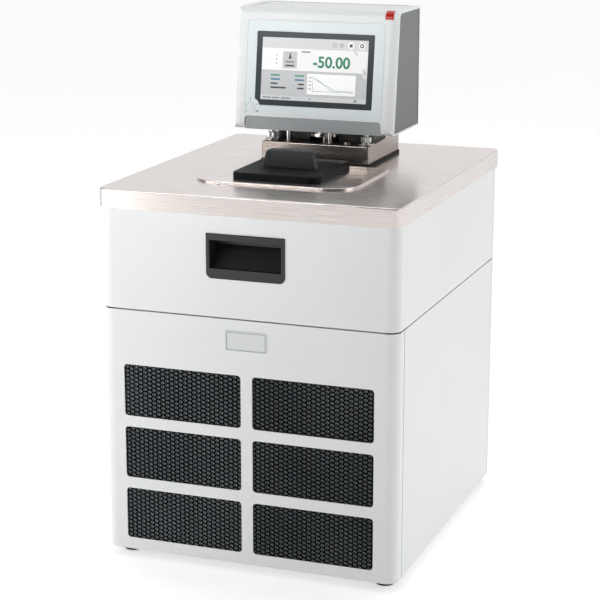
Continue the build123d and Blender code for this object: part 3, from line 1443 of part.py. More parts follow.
# Compressor on four rubber grommets
comp_low = pan_top + GROMMET_H
half_span = GROMMET_SPAN / 2
grommet_places = [(COMP_X + sx * half_span, COMP_Y + sy * half_span) for sx in (-1, 1) for sy in (-1, 1)]
port_reach = COMP_R + 10.0
with BuildPart() as compressor:
    with BuildSketch(Plane.XY.offset(comp_low)):
        with Locations((COMP_X, COMP_Y)):
            RectangleRounded(GROMMET_SPAN + 3 * GROMMET_R, GROMMET_SPAN + 3 * GROMMET_R, GROMMET_R)
    extrude(amount=COMP_FOOT)
    with BuildSketch(Plane.XY.offset(comp_low)):
        with Locations((COMP_X, COMP_Y)):
            Circle(COMP_R)
    extrude(amount=COMP_H)
    fillet(compressor.faces().sort_by(Axis.Z)[-1].edges(), COMP_R * 0.4)
    with BuildSketch(Plane.YZ.offset(COMP_X)):
        with Locations((COMP_Y, SUCTION_Z)):
            Circle(LINE_R + 2.0)
    extrude(amount=port_reach)
    with BuildSketch(Plane.XZ.offset(-COMP_Y)):
        with Locations((COMP_X, DISCHARGE_Z)):
            Circle(LINE_R + 2.0)
    extrude(amount=port_reach)
compressor.part.label = "compressor"
export_step(compressor.part, "parts/compressor.step")

with BuildPart() as compressor_mounts:
    with BuildSketch(Plane.XY.offset(pan_top)):
        with Locations(*grommet_places):
            Circle(GROMMET_R)
    extrude(amount=GROMMET_H)
compressor_mounts.part.label = "compressor_mounts"
export_step(compressor_mounts.part, "parts/compressor_mounts.step")

# Refrigerant lines: suction, discharge, the two lengths of liquid line and injection
line_turn_y = -60.0
with BuildPart() as refrigerant_lines:
    add(pipe_route(LINE_R, (coil_x, coil_outlet_y, stub_low), (coil_x, coil_outlet_y, SUCTION_Z),
                   (COMP_X + port_reach, COMP_Y, SUCTION_Z)))
    add(pipe_route(LINE_R, (COMP_X, COMP_Y - port_reach, DISCHARGE_Z), (COMP_X, line_turn_y, DISCHARGE_Z),
                   (-header_x, line_turn_y, DISCHARGE_Z), (-header_x, line_turn_y, INLET_HIGH),
                   (-header_x, CONDENSER_Y + HEADER_R, INLET_HIGH)))
    add(pipe_route(LINE_R, (header_x, CONDENSER_Y + HEADER_R, LIQUID_Z), (header_x, DRIER_Y, LIQUID_Z),
                   (header_x, DRIER_Y, DRIER_Z)))
    add(pipe_route(LINE_R, (header_x, DRIER_Y, DRIER_Z + DRIER_L), (header_x, DRIER_Y, VALVE_Z)))
    add(pipe_route(LINE_R, (header_x, DRIER_Y, VALVE_Z + VALVE_H), (header_x, DRIER_Y, INJECTION_Z),
                   (coil_x, coil_inlet_y, INJECTION_Z), (coil_x, coil_inlet_y, stub_low)))
refrigerant_lines.part.label = "refrigerant_lines"
export_step(refrigerant_lines.part, "parts/refrigerant_lines.step")

with BuildPart() as filter_drier:
    with BuildSketch(Plane.XY.offset(DRIER_Z)):
        with Locations((header_x, DRIER_Y)):
            Circle(DRIER_R)
    extrude(amount=DRIER_L)
    chamfer(filter_drier.edges().filter_by(GeomType.CIRCLE), DRIER_R * 0.5)
filter_drier.part.label = "filter_drier"
export_step(filter_drier.part, "parts/filter_drier.step")

with BuildPart() as expansion_valve:
    with BuildSketch(Plane.XY.offset(VALVE_Z)):
        with Locations((header_x, DRIER_Y)):
            RegularPolygon(VALVE_R, 6)
    extrude(amount=VALVE_H)
    with BuildSketch(Plane.YZ.offset(header_x)):
        with Locations((DRIER_Y, VALVE_Z + VALVE_H / 2)):
            Circle(VALVE_R * 0.7)
    extrude(amount=VALVE_R + 14.0)
expansion_valve.part.label = "expansion_valve"
export_step(expansion_valve.part, "parts/expansion_valve.step")

# Electrics box behind the rear panel
box_back = back_y - SKIN - FIT
with BuildPart() as electrics_box:
    with BuildSketch(Plane.XZ.offset(-box_back)):
        with Locations((BOX_X, BOX_Z + BOX_H / 2)):
            Rectangle(BOX_W, BOX_H)
    extrude(amount=BOX_D)
    with BuildSketch(Plane.XZ.offset(-box_back)):
        with Locations((BOX_X, BOX_Z + BOX_H / 2)):
            Rectangle(BOX_W - 2 * BOX_T, BOX_H - 2 * BOX_T)
    extrude(amount=BOX_D - BOX_T, mode=Mode.SUBTRACT)
electrics_box.part.label = "electrics_box"
export_step(electrics_box.part, "parts/electrics_box.step")

# Mains entry: one moulding that holds the inlet socket and frames the rocker switch
flange_y = back_y + FLANGE_T
socket_floor = flange_y - SOCKET_DEEP
rocker_y = flange_y - ROCKER_R
switch_deep = 2 * ROCKER_R + ROCKER_PLAY
entry_low = INLET_X - INLET_W / 2
entry_high = SWITCH_X + switch_w / 2 + 5.0
with BuildPart() as power_entry:
    with BuildSketch(Plane.XZ.offset(-flange_y)):
        with Locations(((entry_low + entry_high) / 2, INLET_Z)):
            RectangleRounded(entry_high - entry_low, INLET_H, 3.0)
    extrude(amount=FLANGE_T)
    with BuildSketch(Plane.XZ.offset(-flange_y)):
        with Locations((INLET_X, INLET_Z)):
            Rectangle(SOCKET_W + 5.0, SOCKET_H + 5.0)
    extrude(amount=SOCKET_DEEP + 2.5)
    with BuildSketch(Plane.XZ.offset(-flange_y)):
        with Locations((SWITCH_X, INLET_Z)):
            Rectangle(switch_w + 2 * switch_body, switch_h + 2 * switch_body)
    extrude(amount=switch_deep + switch_body)
    with BuildSketch(Plane.XZ.offset(-flange_y)):
        with Locations((INLET_X, INLET_Z)):
            socket = Rectangle(SOCKET_W, SOCKET_H)
        chamfer(socket.vertices().group_by(Axis.Y)[-1], 4.0)
    extrude(amount=SOCKET_DEEP, mode=Mode.SUBTRACT)
    with BuildSketch(Plane.XZ.offset(-flange_y)):
        with Locations((SWITCH_X, INLET_Z)):
            Rectangle(switch_w, switch_h)
    extrude(amount=switch_deep, mode=Mode.SUBTRACT)
    with BuildSketch(Plane.YZ.offset(SWITCH_X - ROCKER_W / 2 - PIVOT_L)):
        with Locations((rocker_y, INLET_Z)):
            Circle(PIVOT_R + RUN_FIT)
    extrude(amount=ROCKER_W + 2 * PIVOT_L, mode=Mode.SUBTRACT)
power_entry.part.label = "power_entry"
export_step(power_entry.part, "parts/power_entry.step")

with BuildPart() as inlet_pins:
    with BuildSketch(Plane.XZ.offset(-socket_floor - PIN_L)):
        with Locations((INLET_X - 7.0, INLET_Z - 2.0), (INLET_X, INLET_Z + 2.0), (INLET_X + 7.0, INLET_Z - 2.0)):
            Rectangle(2.0, 4.0)
    extrude(amount=PIN_L)
inlet_pins.part.label = "inlet_pins"
export_step(inlet_pins.part, "parts/inlet_pins.step")


def rocker_point(outward, upward):
    """Point of the rocker's side view, tipped to its off position."""
    tip = radians(ROCKER_TILT)
    return (
        rocker_y + outward * cos(tip) + upward * sin(tip),
        INLET_Z - outward * sin(tip) + upward * cos(tip),
    )


saddle = ROCKER_R * 0.62
flare = ROCKER_R * tan(radians(ROCKER_TILT))
with BuildPart() as mains_switch:
    with BuildSketch(Plane.YZ.offset(SWITCH_X - ROCKER_W / 2)):
        with Locations((rocker_y, INLET_Z)):
            Circle(ROCKER_R)
        with BuildLine():
            Polyline(
                rocker_point(saddle, 0.0),
                rocker_point(saddle + flare, ROCKER_R),
                rocker_point(2 * ROCKER_R, ROCKER_R),
                rocker_point(2 * ROCKER_R, -ROCKER_R),
                rocker_point(saddle + flare, -ROCKER_R),
                close=True,
            )
        make_face(mode=Mode.SUBTRACT)
    extrude(amount=ROCKER_W)
    with BuildSketch(Plane.YZ.offset(SWITCH_X - ROCKER_W / 2 - PIVOT_L)):
        with Locations((rocker_y, INLET_Z)):
            Circle(PIVOT_R)
    extrude(amount=ROCKER_W + 2 * PIVOT_L)
mains_switch.part.label = "mains_switch"
export_step(mains_switch.part, "parts/mains_switch.step")

# Drain: pipe from the tank's floor, tap behind the vent panel and its lever
tap_y = (TAP_BACK + TAP_FRONT) / 2
stem_top = TAP_Z + TAP_R + 4.0
with BuildPart() as drain_pipe:
    add(pipe_route(DRAIN_PIPE_R, (TAP_X, DRAIN_Y, tank_low), (TAP_X, DRAIN_Y, TAP_Z), (TAP_X, TAP_BACK, TAP_Z)))
drain_pipe.part.label = "drain_pipe"
export_step(drain_pipe.part, "parts/drain_pipe.step")

with BuildPart() as drain_tap:
    with BuildSketch(Plane.XZ.offset(-TAP_BACK)):
        with Locations((TAP_X, TAP_Z)):
            Circle(TAP_R)
    extrude(amount=TAP_BACK - TAP_FRONT)
    with BuildSketch(Plane.XZ.offset(-TAP_FRONT)):
        with Locations((TAP_X, TAP_Z)):
            Circle(SPIGOT_R)
    extrude(amount=SPIGOT_L)
    with BuildSketch(Plane.XZ.offset(-TAP_FRONT)):
        with Locations((TAP_X, TAP_Z)):
            Circle(DRAIN_BORE)
    extrude(amount=SPIGOT_L, mode=Mode.SUBTRACT)
    with BuildSketch(Plane.XY.offset(TAP_Z)):
        with Locations((TAP_X, tap_y)):
            Circle(TAP_R * 0.6)
    extrude(amount=TAP_R + 2.0)
    with BuildSketch(Plane.XY.offset(TAP_Z + 3.0)):
        with Locations((TAP_X, tap_y)):
            Circle(STEM_R + RUN_FIT)
    extrude(amount=TAP_R, mode=Mode.SUBTRACT)
drain_tap.part.label = "drain_tap"
export_step(drain_tap.part, "parts/drain_tap.step")

with BuildPart() as drain_lever:
    with BuildSketch(Plane.XY.offset(TAP_Z + 3.0 + FIT)):
        with Locations((TAP_X, tap_y)):
            Circle(STEM_R)
    extrude(amount=stem_top - TAP_Z - 3.0)
    with BuildSketch(Plane.XY.offset(stem_top)):
        with Locations((TAP_X + LEVER_L / 2 - 5.0, tap_y)):
            SlotOverall(LEVER_L, 10.0)
    extrude(amount=LEVER_T)
drain_lever.part.label = "drain_lever"
export_step(drain_lever.part, "parts/drain_lever.step")
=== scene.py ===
import math

import bmesh
import bpy
from mathutils import Matrix, Vector


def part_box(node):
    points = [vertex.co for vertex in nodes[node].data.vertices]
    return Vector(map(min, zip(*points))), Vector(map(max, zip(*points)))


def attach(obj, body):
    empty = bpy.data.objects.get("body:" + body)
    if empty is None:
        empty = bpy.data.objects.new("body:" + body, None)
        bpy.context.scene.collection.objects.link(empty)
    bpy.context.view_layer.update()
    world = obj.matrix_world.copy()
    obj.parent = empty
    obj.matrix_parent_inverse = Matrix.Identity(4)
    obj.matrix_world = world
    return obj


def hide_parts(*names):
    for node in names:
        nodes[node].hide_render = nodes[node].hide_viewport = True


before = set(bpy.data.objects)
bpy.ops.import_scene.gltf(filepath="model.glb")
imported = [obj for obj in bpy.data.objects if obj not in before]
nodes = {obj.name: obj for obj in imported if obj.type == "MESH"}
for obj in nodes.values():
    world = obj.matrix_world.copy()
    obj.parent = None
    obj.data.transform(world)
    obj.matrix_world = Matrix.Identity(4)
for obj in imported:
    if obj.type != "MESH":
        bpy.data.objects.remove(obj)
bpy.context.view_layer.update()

# Places and sizes of pieces are in millimetres, and this turns them into metres
MM = 0.001


def box_mm(node):
    """Lowest and highest corner of a carried-over node, in millimetres."""
    low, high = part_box(node)
    return low / MM, high / MM


# Camera at the photograph's viewing angle, in metres and radians
CAMERA_PLACE = (0.8852, -2.4274, 0.971)
CAMERA_YAW = 0.355
CAMERA_PITCH = -0.246
CAMERA_LENS = 112.2
CAMERA_SENSOR = 36.0
CAMERA_REACH = 60.0


def make_camera():
    data = bpy.data.cameras.new("camera")
    data.lens = CAMERA_LENS
    data.sensor_width = CAMERA_SENSOR
    data.clip_end = CAMERA_REACH
    camera = bpy.data.objects.new("camera", data)
    camera.location = CAMERA_PLACE
    camera.rotation_euler = (math.pi / 2 + CAMERA_PITCH, 0.0, CAMERA_YAW)
    bpy.context.scene.collection.objects.link(camera)
    bpy.context.scene.camera = camera


make_camera()

# Node helpers for materials


class Look:
    """A material under construction: its nodes, and the shader they lead to."""

    def __init__(self, name, rough, metal=0.0):
        self.material = bpy.data.materials.new(name)
        self.material.use_nodes = True
        self.tree = self.material.node_tree
        self.shader = self.tree.nodes["Principled BSDF"]
        self.shader.inputs["Roughness"].default_value = rough
        self.shader.inputs["Metallic"].default_value = metal
        self.coords = self.tree.nodes.new("ShaderNodeTexCoord").outputs["Object"]

    def link(self, output, socket):
        self.tree.links.new(output, socket)

    def stretched(self, scale):
        """Object coordinates stretched by a scale along each axis."""
        node = self.tree.nodes.new("ShaderNodeMapping")
        node.inputs["Scale"].default_value = scale
        self.link(self.coords, node.inputs["Vector"])
        return node.outputs["Vector"]

    def noise(self, scale, detail=3.0, vector=None, rough=0.5):
        node = self.tree.nodes.new("ShaderNodeTexNoise")
        node.inputs["Scale"].default_value = scale
        node.inputs["Detail"].default_value = detail
        node.inputs["Roughness"].default_value = rough
        self.link(vector or self.coords, node.inputs["Vector"])
        return node.outputs["Fac"]

    def span(self, value, low, high, start=0.3, end=0.7):
        """A value brought from its middle range to another range."""
        node = self.tree.nodes.new("ShaderNodeMapRange")
        node.inputs["From Min"].default_value = start
        node.inputs["From Max"].default_value = end
        node.inputs["To Min"].default_value = low
        node.inputs["To Max"].default_value = high
        self.link(value, node.inputs["Value"])
        return node.outputs["Result"]

    def mix_values(self, value, first, second):
        """The first of two values at none, the second at one."""
        node = self.tree.nodes.new("ShaderNodeMix")
        self.link(value, node.inputs["Factor"])
        self.link(first, node.inputs["A"])
        self.link(second, node.inputs["B"])
        return node.outputs["Result"]

    def sideways(self):
        """One on faces that look along x, none on the others."""
        geometry = self.tree.nodes.new("ShaderNodeNewGeometry")
        parts = self.tree.nodes.new("ShaderNodeSeparateXYZ")
        self.link(geometry.outputs["Normal"], parts.inputs["Vector"])
        size = self.tree.nodes.new("ShaderNodeMath")
        size.operation = "ABSOLUTE"
        self.link(parts.outputs["X"], size.inputs[0])
        return self.span(size.outputs["Value"], 0.0, 1.0, 0.6, 0.8)

    def colour(self, value, first, second):
        """Base colour that goes from one colour to another with a value."""
        node = self.tree.nodes.new("ShaderNodeMix")
        node.data_type = "RGBA"
        self.link(value, node.inputs["Factor"])
        node.inputs["A"].default_value = first
        node.inputs["B"].default_value = second
        self.link(node.outputs["Result"], self.shader.inputs["Base Color"])

    def roughness(self, value, low, high):
        self.link(self.span(value, low, high), self.shader.inputs["Roughness"])

    def bump(self, value, strength, distance):
        node = self.tree.nodes.new("ShaderNodeBump")
        node.inputs["Strength"].default_value = strength
        node.inputs["Distance"].default_value = distance
        self.link(value, node.inputs["Height"])
        self.link(node.outputs["Normal"], self.shader.inputs["Normal"])

    def glow(self, colour, strength):
        self.shader.inputs["Emission Color"].default_value = colour
        self.shader.inputs["Emission Strength"].default_value = strength

    def dull(self, share):
        """Weaker mirror-like gleam than plain plastic has."""
        self.shader.inputs["Specular IOR Level"].default_value = share


def shade(red, green, blue):
    """Linear colour from a display colour of 0 to 255."""

    def linear(value):
        share = value / 255.0
        return share / 12.92 if share <= 0.04045 else ((share + 0.055) / 1.055) ** 2.4

    return (linear(red), linear(green), linear(blue), 1.0)


# Patches and grain of painted, moulded and cast surfaces
PATCH_SCALE = 6.0
GRAIN_DETAIL = 2.0
GRAIN_STRENGTH = 0.25

# Streaks of brushed metal, their height in millimetres
STREAK_ALONG = 12.0
STREAK_ACROSS = 1400.0
STREAK_DETAIL = 4.0
STREAK_ROUGH = 0.7
STREAK_STRENGTH = 0.12
STREAK_HEIGHT = 0.03

# How far grain and streaks take the roughness below and above its middle
SMOOTHER = 0.05
GRAIN_ROUGHER = 0.06
STREAK_ROUGHER = 0.07


def grained(name, first, second, rough, grain, height, metal):
    """Slight patches between two linear colours; a fine grain in gloss, and in height in millimetres."""
    look = Look(name, rough, metal)
    look.colour(look.span(look.noise(PATCH_SCALE), 0.0, 1.0), first, second)
    fine = look.noise(grain, GRAIN_DETAIL)
    look.roughness(fine, rough - SMOOTHER, rough + GRAIN_ROUGHER)
    look.bump(fine, GRAIN_STRENGTH, height * MM)
    return look


def painted(name, light, dark, rough, grain=900.0, height=0.04, metal=0.0):
    """Powder coat, moulded plastic or cast metal, from two display colours."""
    look = grained(name, shade(*light), shade(*dark), rough, grain, height, metal)
    looks[name] = look
    return look


def brushed(name, light, dark, rough):
    """Brushed metal: streaks along x, and along y on faces that look along x."""
    look = Look(name, rough, metal=1.0)
    room_x = look.stretched((STREAK_ALONG, STREAK_ACROSS, STREAK_ACROSS))
    room_y = look.stretched((STREAK_ACROSS, STREAK_ALONG, STREAK_ACROSS))
    along_x = look.noise(1.0, STREAK_DETAIL, room_x, STREAK_ROUGH)
    along_y = look.noise(1.0, STREAK_DETAIL, room_y, STREAK_ROUGH)
    streaks = look.mix_values(look.sideways(), along_x, along_y)
    look.colour(look.span(streaks, 0.0, 1.0), shade(*light), shade(*dark))
    look.roughness(streaks, rough - SMOOTHER, rough + STREAK_ROUGHER)
    look.bump(streaks, STREAK_STRENGTH, STREAK_HEIGHT * MM)
    looks[name] = look


looks = {}

# Painted sheet and the head's mouldings
painted("cabinet_white", (232, 234, 233), (229, 231, 231), 0.42)
painted("shell_white", (236, 239, 239), (233, 236, 236), 0.38, grain=1600.0, height=0.02)
painted("shell_grey", (112, 114, 115), (107, 109, 110), 0.45, grain=1600.0, height=0.03)
painted("panel_grey", (222, 224, 224), (217, 219, 220), 0.32, grain=1200.0, height=0.01)
# Painted light: the chin panel's grey is raised to make up for the shade it gets where it faces down
painted("chin_grey_painted_light", (168, 172, 174), (163, 167, 169), 0.42, grain=1600.0, height=0.03)
painted("panel_film", (229, 238, 240), (226, 235, 237), 0.3, grain=2400.0, height=0.01)
painted("bezel_dark", (58, 66, 71), (54, 62, 67), 0.16, grain=2400.0, height=0.005)
painted("tab_red", (190, 8, 14), (180, 6, 12), 0.3, grain=1500.0, height=0.01)

# Dark plastics and rubber
painted("grip_grey", (34, 37, 40), (27, 30, 33), 0.42, grain=1100.0, height=0.05)
painted("black_plastic", (24, 25, 27), (18, 19, 21), 0.4, grain=1200.0)
painted("lid_black", (15, 19, 22), (12, 16, 19), 0.5, grain=1300.0, height=0.03).dull(0.12)
painted("lid_grip_black", (36, 41, 44), (30, 35, 38), 0.4, grain=1300.0, height=0.03)
painted("black_rubber", (26, 26, 27), (20, 20, 21), 0.75, height=0.08)

# Pieces inside
painted("compressor_black", (24, 25, 26), (30, 31, 32), 0.38, grain=500.0, height=0.08)
painted("motor_casing", (92, 96, 100), (82, 86, 90), 0.5, grain=700.0, height=0.08)
painted("foam", (214, 196, 150), (196, 172, 120), 0.9, grain=400.0, height=0.6)
painted("board_green", (22, 96, 60), (14, 74, 46), 0.35, grain=800.0)
painted("wet_plastic", (232, 232, 226), (222, 222, 214), 0.35, height=0.02)

# Bare metals
brushed("stainless", (231, 224, 220), (201, 193, 189), 0.24)
# Painted shade: the bridge wears a darker copy of the stainless, standing in for the shade under the head
brushed("bridge_steel_shaded", (176, 167, 160), (146, 138, 132), 0.26)
brushed("frame_steel", (176, 179, 181), (150, 154, 157), 0.42)
# Painted shade: the condenser's fins are coloured near black so that the gaps of the mesh in front of them
# read as dark shade
brushed("aluminium_fins", (30, 31, 33), (20, 21, 22), 0.55)
painted("nickel", (214, 212, 208), (200, 198, 194), 0.16, grain=1500.0, height=0.01, metal=1.0)
painted("copper_tube", (201, 128, 92), (176, 100, 68), 0.3, grain=700.0, height=0.02, metal=1.0)
painted("mesh_steel", (86, 89, 91), (66, 69, 71), 0.2, grain=1200.0, height=0.02, metal=1.0)

# Inks of the printed fields
INK_DARKER = 0.96
INK_GLOW = 0.2
INKS = {
    "ink_grey": (190, 192, 194),
    "ink_bar": (205, 206, 207),
    "ink_white": (236, 237, 238),
    "ink_bright": (250, 251, 251),
    "ink_pale": (222, 222, 222),
    "ink_faint": (180, 182, 184),
    "ink_tile": (190, 191, 192),
    "ink_mid": (120, 124, 128),
    "ink_dark": (48, 50, 54),
    "ink_green": (60, 150, 120),
    "ink_blue": (52, 118, 150),
    "ink_value": (8, 122, 84),
}


def make_inks():
    """Nearly flat colours with a slight grain, glowing a little as the lit screen does; the same glow on
    the unlit dial scale and badge border is painted light.
    """
    for name, display in INKS.items():
        colour = shade(*display)
        darker = tuple(channel * INK_DARKER for channel in colour[:3]) + (1.0,)
        look = grained(name, colour, darker, rough=0.28, grain=2600.0, height=0.002, metal=0.0)
        look.glow(colour, INK_GLOW)
        looks[name] = look


make_inks()

# Which carried-over nodes wear which look
WEARS = {
    "cabinet_white": ("upper_housing", "side_panels", "rear_panel", "vent_panel"),
    "panel_grey": ("badge_plate",),
    "frame_steel": ("base_pan", "chassis_frame", "fan_shroud", "electrics_box"),
    "stainless": (
        "top_cover", "bath_tank", "pump_housing", "pump_pipes", "heater_coil",
        "temperature_probe", "float_stem", "drain_pipe", "pump_shaft",
    ),
    "bridge_steel_shaded": ("bridge",),
    "mesh_steel": ("vent_mesh",),
    "shell_white": ("head_shell", "head_top_plate", "cutout_dial"),
    "shell_grey": ("head_cheeks", "head_back_cover"),
    "chin_grey_painted_light": ("chin_panel",),
    "grip_grey": ("recessed_grips",),
    "black_plastic": (
        "motor_mount", "clamp_screws", "display_module", "power_entry", "fan", "mains_switch",
    ),
    "lid_black": ("lid",),
    "lid_grip_black": ("lid_grip",),
    "panel_film": ("front_panel",),
    "bezel_dark": ("touch_screen",),
    "tab_red": ("status_tab",),
    "black_rubber": ("feet", "bridge_gasket", "compressor_mounts"),
    "copper_tube": ("evaporator_coil", "refrigerant_lines", "filter_drier"),
    "nickel": (
        "pump_ports", "motor_flange", "spacers", "expansion_valve", "inlet_pins", "drain_tap",
        "fan_shaft", "drain_lever",
    ),
    "aluminium_fins": ("condenser",),
    "compressor_black": ("compressor",),
    "motor_casing": ("pump_motor", "fan_motor"),
    "foam": ("insulation",),
    "board_green": ("circuit_board",),
    "wet_plastic": ("impeller", "level_float"),
}


def dress_nodes():
    """Each carried-over node gets the look of its kind."""
    for look_name, node_names in WEARS.items():
        for node_name in node_names:
            data = nodes[node_name].data
            data.materials.clear()
            data.materials.append(looks[look_name].material)
            for face in data.polygons:
                face.material_index = 0


dress_nodes()


def new_piece(name, mesh, look, body):
    """A mesh made into a piece that rides on a body."""
    data = bpy.data.meshes.new(name)
    mesh.to_mesh(data)
    mesh.free()
    piece = bpy.data.objects.new(name, data)
    bpy.context.scene.collection.objects.link(piece)
    data.materials.append(looks[look].material)
    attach(piece, body)
    return piece


# Expanded mesh behind the windows: staggered scales that bulge forwards, with gaps between that show the
# condenser, coloured dark as painted shade
CELL_W = 6.5
CELL_H = 6.0
SCALE_W = 3.35
SCALE_H = 2.75
SCALE_SIDES = 8
SCALE_SLOPE = 0.35

# Reach and height of a scale's rings, from its rim to its dimple, as shares
SCALE_RINGS = ((1.0, 0.0), (0.94, 0.5), (0.76, 0.9), (0.5, 1.0), (0.24, 0.75))


def add_scale(mesh, middle_x, middle_z, front, back):
    """One rounded scale with a dimple, its lower edge standing further forward than its upper."""
    rings = []
    for reach, height in SCALE_RINGS:
        ring = []
        for turn in range(SCALE_SIDES):
            angle = math.tau * turn / SCALE_SIDES
            x = middle_x + reach * SCALE_W * math.cos(angle)
            z = middle_z + reach * SCALE_H * math.sin(angle)
            lean = SCALE_SLOPE * reach * (1.0 - math.sin(angle)) / 2
            share = min(height * (1.0 - SCALE_SLOPE) + lean, 1.0)
            y = back + (front - back) * share
            ring.append(mesh.verts.new(Vector((x, y, z)) * MM))
        rings.append(ring)
    for outer, inner in zip(rings, rings[1:]):
        for turn in range(SCALE_SIDES):
            following = (turn + 1) % SCALE_SIDES
            mesh.faces.new((outer[turn], outer[following], inner[following], inner[turn]))
    mesh.faces.new(rings[-1])


def make_mesh():
    """Columns of scales over the whole wall, every other column half a cell higher."""
    low, high = box_mm("vent_mesh")
    mesh = bmesh.new()
    for column in range(int((high.x - low.x) / CELL_W)):
        middle_x = low.x + (column + 0.5) * CELL_W
        lift = CELL_H / 2 if column % 2 else 0.0
        for row in range(int((high.z - low.z) / CELL_H)):
            middle_z = low.z + (row + 0.5) * CELL_H + lift
            if middle_z + SCALE_H < high.z:
                add_scale(mesh, middle_x, middle_z, low.y, high.y)
    bmesh.ops.recalc_face_normals(mesh, faces=mesh.faces)
    for face in mesh.faces:
        face.smooth = True
    piece = new_piece("expanded_mesh", mesh, "mesh_steel", "vent_front")
    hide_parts("vent_mesh")


make_mesh()

# Head front: v runs up the leaning face from the head's foot, depth goes into the head
FOOT_Y = 4.9
FOOT_Z = 562.0
LEAN = math.radians(7.75)


def face_place(x, v, depth):
    """Point on the head's leaning front, in metres."""
    y = FOOT_Y + v * math.sin(LEAN) + depth * math.cos(LEAN)
    z = FOOT_Z + v * math.cos(LEAN) - depth * math.sin(LEAN)
    return Vector((x, y, z)) * MM


# Thin printed fields on the head, each layer a little further out than the one below
LAYER = 0.03
DISC_SIDES = 28


class Print:
    """Fields of colour on the head's leaning front, set out in millimetres."""

    def __init__(self, name, base):
        self.name = name
        self.base = base
        self.mesh = bmesh.new()
        self.used = []

    def field(self, points, look, layer):
        """A flat outline, given as x and v."""
        if look not in self.used:
            self.used.append(look)
        depth = self.base - LAYER * (layer + 1)
        corners = [self.mesh.verts.new(face_place(x, v, depth)) for x, v in points]
        face = self.mesh.faces.new(corners)
        face.material_index = self.used.index(look)

    def box(self, left, low, right, high, look, layer):
        self.field(((left, low), (right, low), (right, high), (left, high)), look, layer)

    def disc(self, middle, radius, look, layer, start=0.0, end=math.tau):
        x, v = middle
        turns = [start + (end - start) * i / DISC_SIDES for i in range(DISC_SIDES)]
        self.field([(x + radius * math.cos(t), v + radius * math.sin(t)) for t in turns], look, layer)

    def line(self, first, second, width, look, layer):
        run = Vector(second) - Vector(first)
        side = Vector((-run.y, run.x)).normalized() * width / 2
        ends = (Vector(first) + side, Vector(first) - side, Vector(second) - side, Vector(second) + side)
        self.field([tuple(point) for point in ends], look, layer)

    def finish(self, body, slot):
        """The fields as one piece, all of them facing forwards."""
        for face in self.mesh.faces:
            face.normal_update()
            if face.normal.y > 0:
                face.normal_flip()
        piece = new_piece(self.name, self.mesh, self.used[0], body)
        for look in self.used[1:]:
            piece.data.materials.append(looks[look].material)


# The screen's lit field on its glass
GLASS_FRONT = -0.2
SCREEN_LEFT = -78.0
SCREEN_W = 156.0
SCREEN_TOP = 129.8
SCREEN_H = 86.8

# Layers of the screen's picture
GROUND = 0
BAND = 1
TILE = 2
MARK = 3
SIGN = 4
CURVE = 5


def on_screen(across, down):
    """Place from shares of the screen's width and height, counted from its top left."""
    return (SCREEN_LEFT + across * SCREEN_W, SCREEN_TOP - down * SCREEN_H)


class Picture(Print):
    """The screen's picture: places are shares of the screen, widths and radii millimetres."""

    def area(self, left, top, right, low, look, layer):
        self.box(*on_screen(left, low), *on_screen(right, top), look, layer)

    def rule(self, first, second, width, look, layer):
        self.line(on_screen(*first), on_screen(*second), width, look, layer)

    def spot(self, middle, radius, look, layer, start=0.0, end=math.tau):
        self.disc(on_screen(*middle), radius, look, layer, start, end)


STRIP_LOW = 0.17
WHITE_LOW = 0.52
FOOT_TOP = 0.93


def draw_bands(picture):
    """Grey ground with a bar at the top, a white band below it and a bar at the foot."""
    picture.area(0.0, 0.0, 1.0, 1.0, "ink_grey", GROUND)
    picture.area(0.0, 0.0, 1.0, STRIP_LOW, "ink_bar", BAND)
    picture.area(0.0, STRIP_LOW, 1.0, WHITE_LOW, "ink_white", BAND)
    picture.area(0.0, FOOT_TOP, 1.0, 1.0, "ink_bar", BAND)


ICON_DOWN = 0.088
STOP_ACROSS = 0.838
GEAR_ACROSS = 0.94
BUTTON_R = 5.0


def draw_icons(picture):
    """At the top right a ruled square, a disc, a stop button and a ring button."""
    picture.area(0.665, 0.05, 0.705, 0.13, "ink_faint", TILE)
    for down in (0.07, 0.09, 0.11):
        picture.rule((0.672, down), (0.698, down), 0.5, "ink_bar", MARK)
    picture.spot((0.752, ICON_DOWN), 3.4, "ink_faint", TILE)
    picture.spot((STOP_ACROSS, ICON_DOWN), BUTTON_R, "ink_white", TILE)
    picture.area(0.824, 0.065, 0.852, 0.113, "ink_dark", MARK)
    picture.spot((GEAR_ACROSS, ICON_DOWN), BUTTON_R, "ink_white", TILE)
    picture.spot((GEAR_ACROSS, ICON_DOWN), 2.9, "ink_dark", MARK)
    picture.spot((GEAR_ACROSS, ICON_DOWN), 1.3, "ink_white", SIGN)


def draw_tiles(picture):
    """At the left a tile with three dots, and a tile with a thermometer over two bars."""
    picture.area(0.095, 0.2, 0.15, 0.49, "ink_bright", TILE)
    for down in (0.27, 0.335, 0.4):
        picture.area(0.13, down, 0.146, down + 0.02, "ink_mid", MARK)
    picture.area(0.2, 0.215, 0.335, 0.485, "ink_tile", TILE)
    picture.spot((0.268, 0.315), 2.0, "ink_dark", MARK)
    picture.area(0.262, 0.245, 0.275, 0.32, "ink_dark", MARK)
    picture.area(0.225, 0.37, 0.31, 0.395, "ink_mid", MARK)
    picture.area(0.225, 0.43, 0.31, 0.455, "ink_dark", MARK)
    picture.area(0.375, 0.205, 0.46, 0.228, "ink_mid", TILE)


ARROW_TIP = (0.984, 0.51)


def draw_arrow(picture):
    """Half disc with an arrow at the right edge."""
    picture.spot((1.0, 0.51), 8.4, "ink_pale", MARK, math.pi / 2, 1.5 * math.pi)
    picture.rule((0.966, 0.475), ARROW_TIP, 0.9, "ink_dark", SIGN)
    picture.rule(ARROW_TIP, (0.966, 0.545), 0.9, "ink_dark", SIGN)


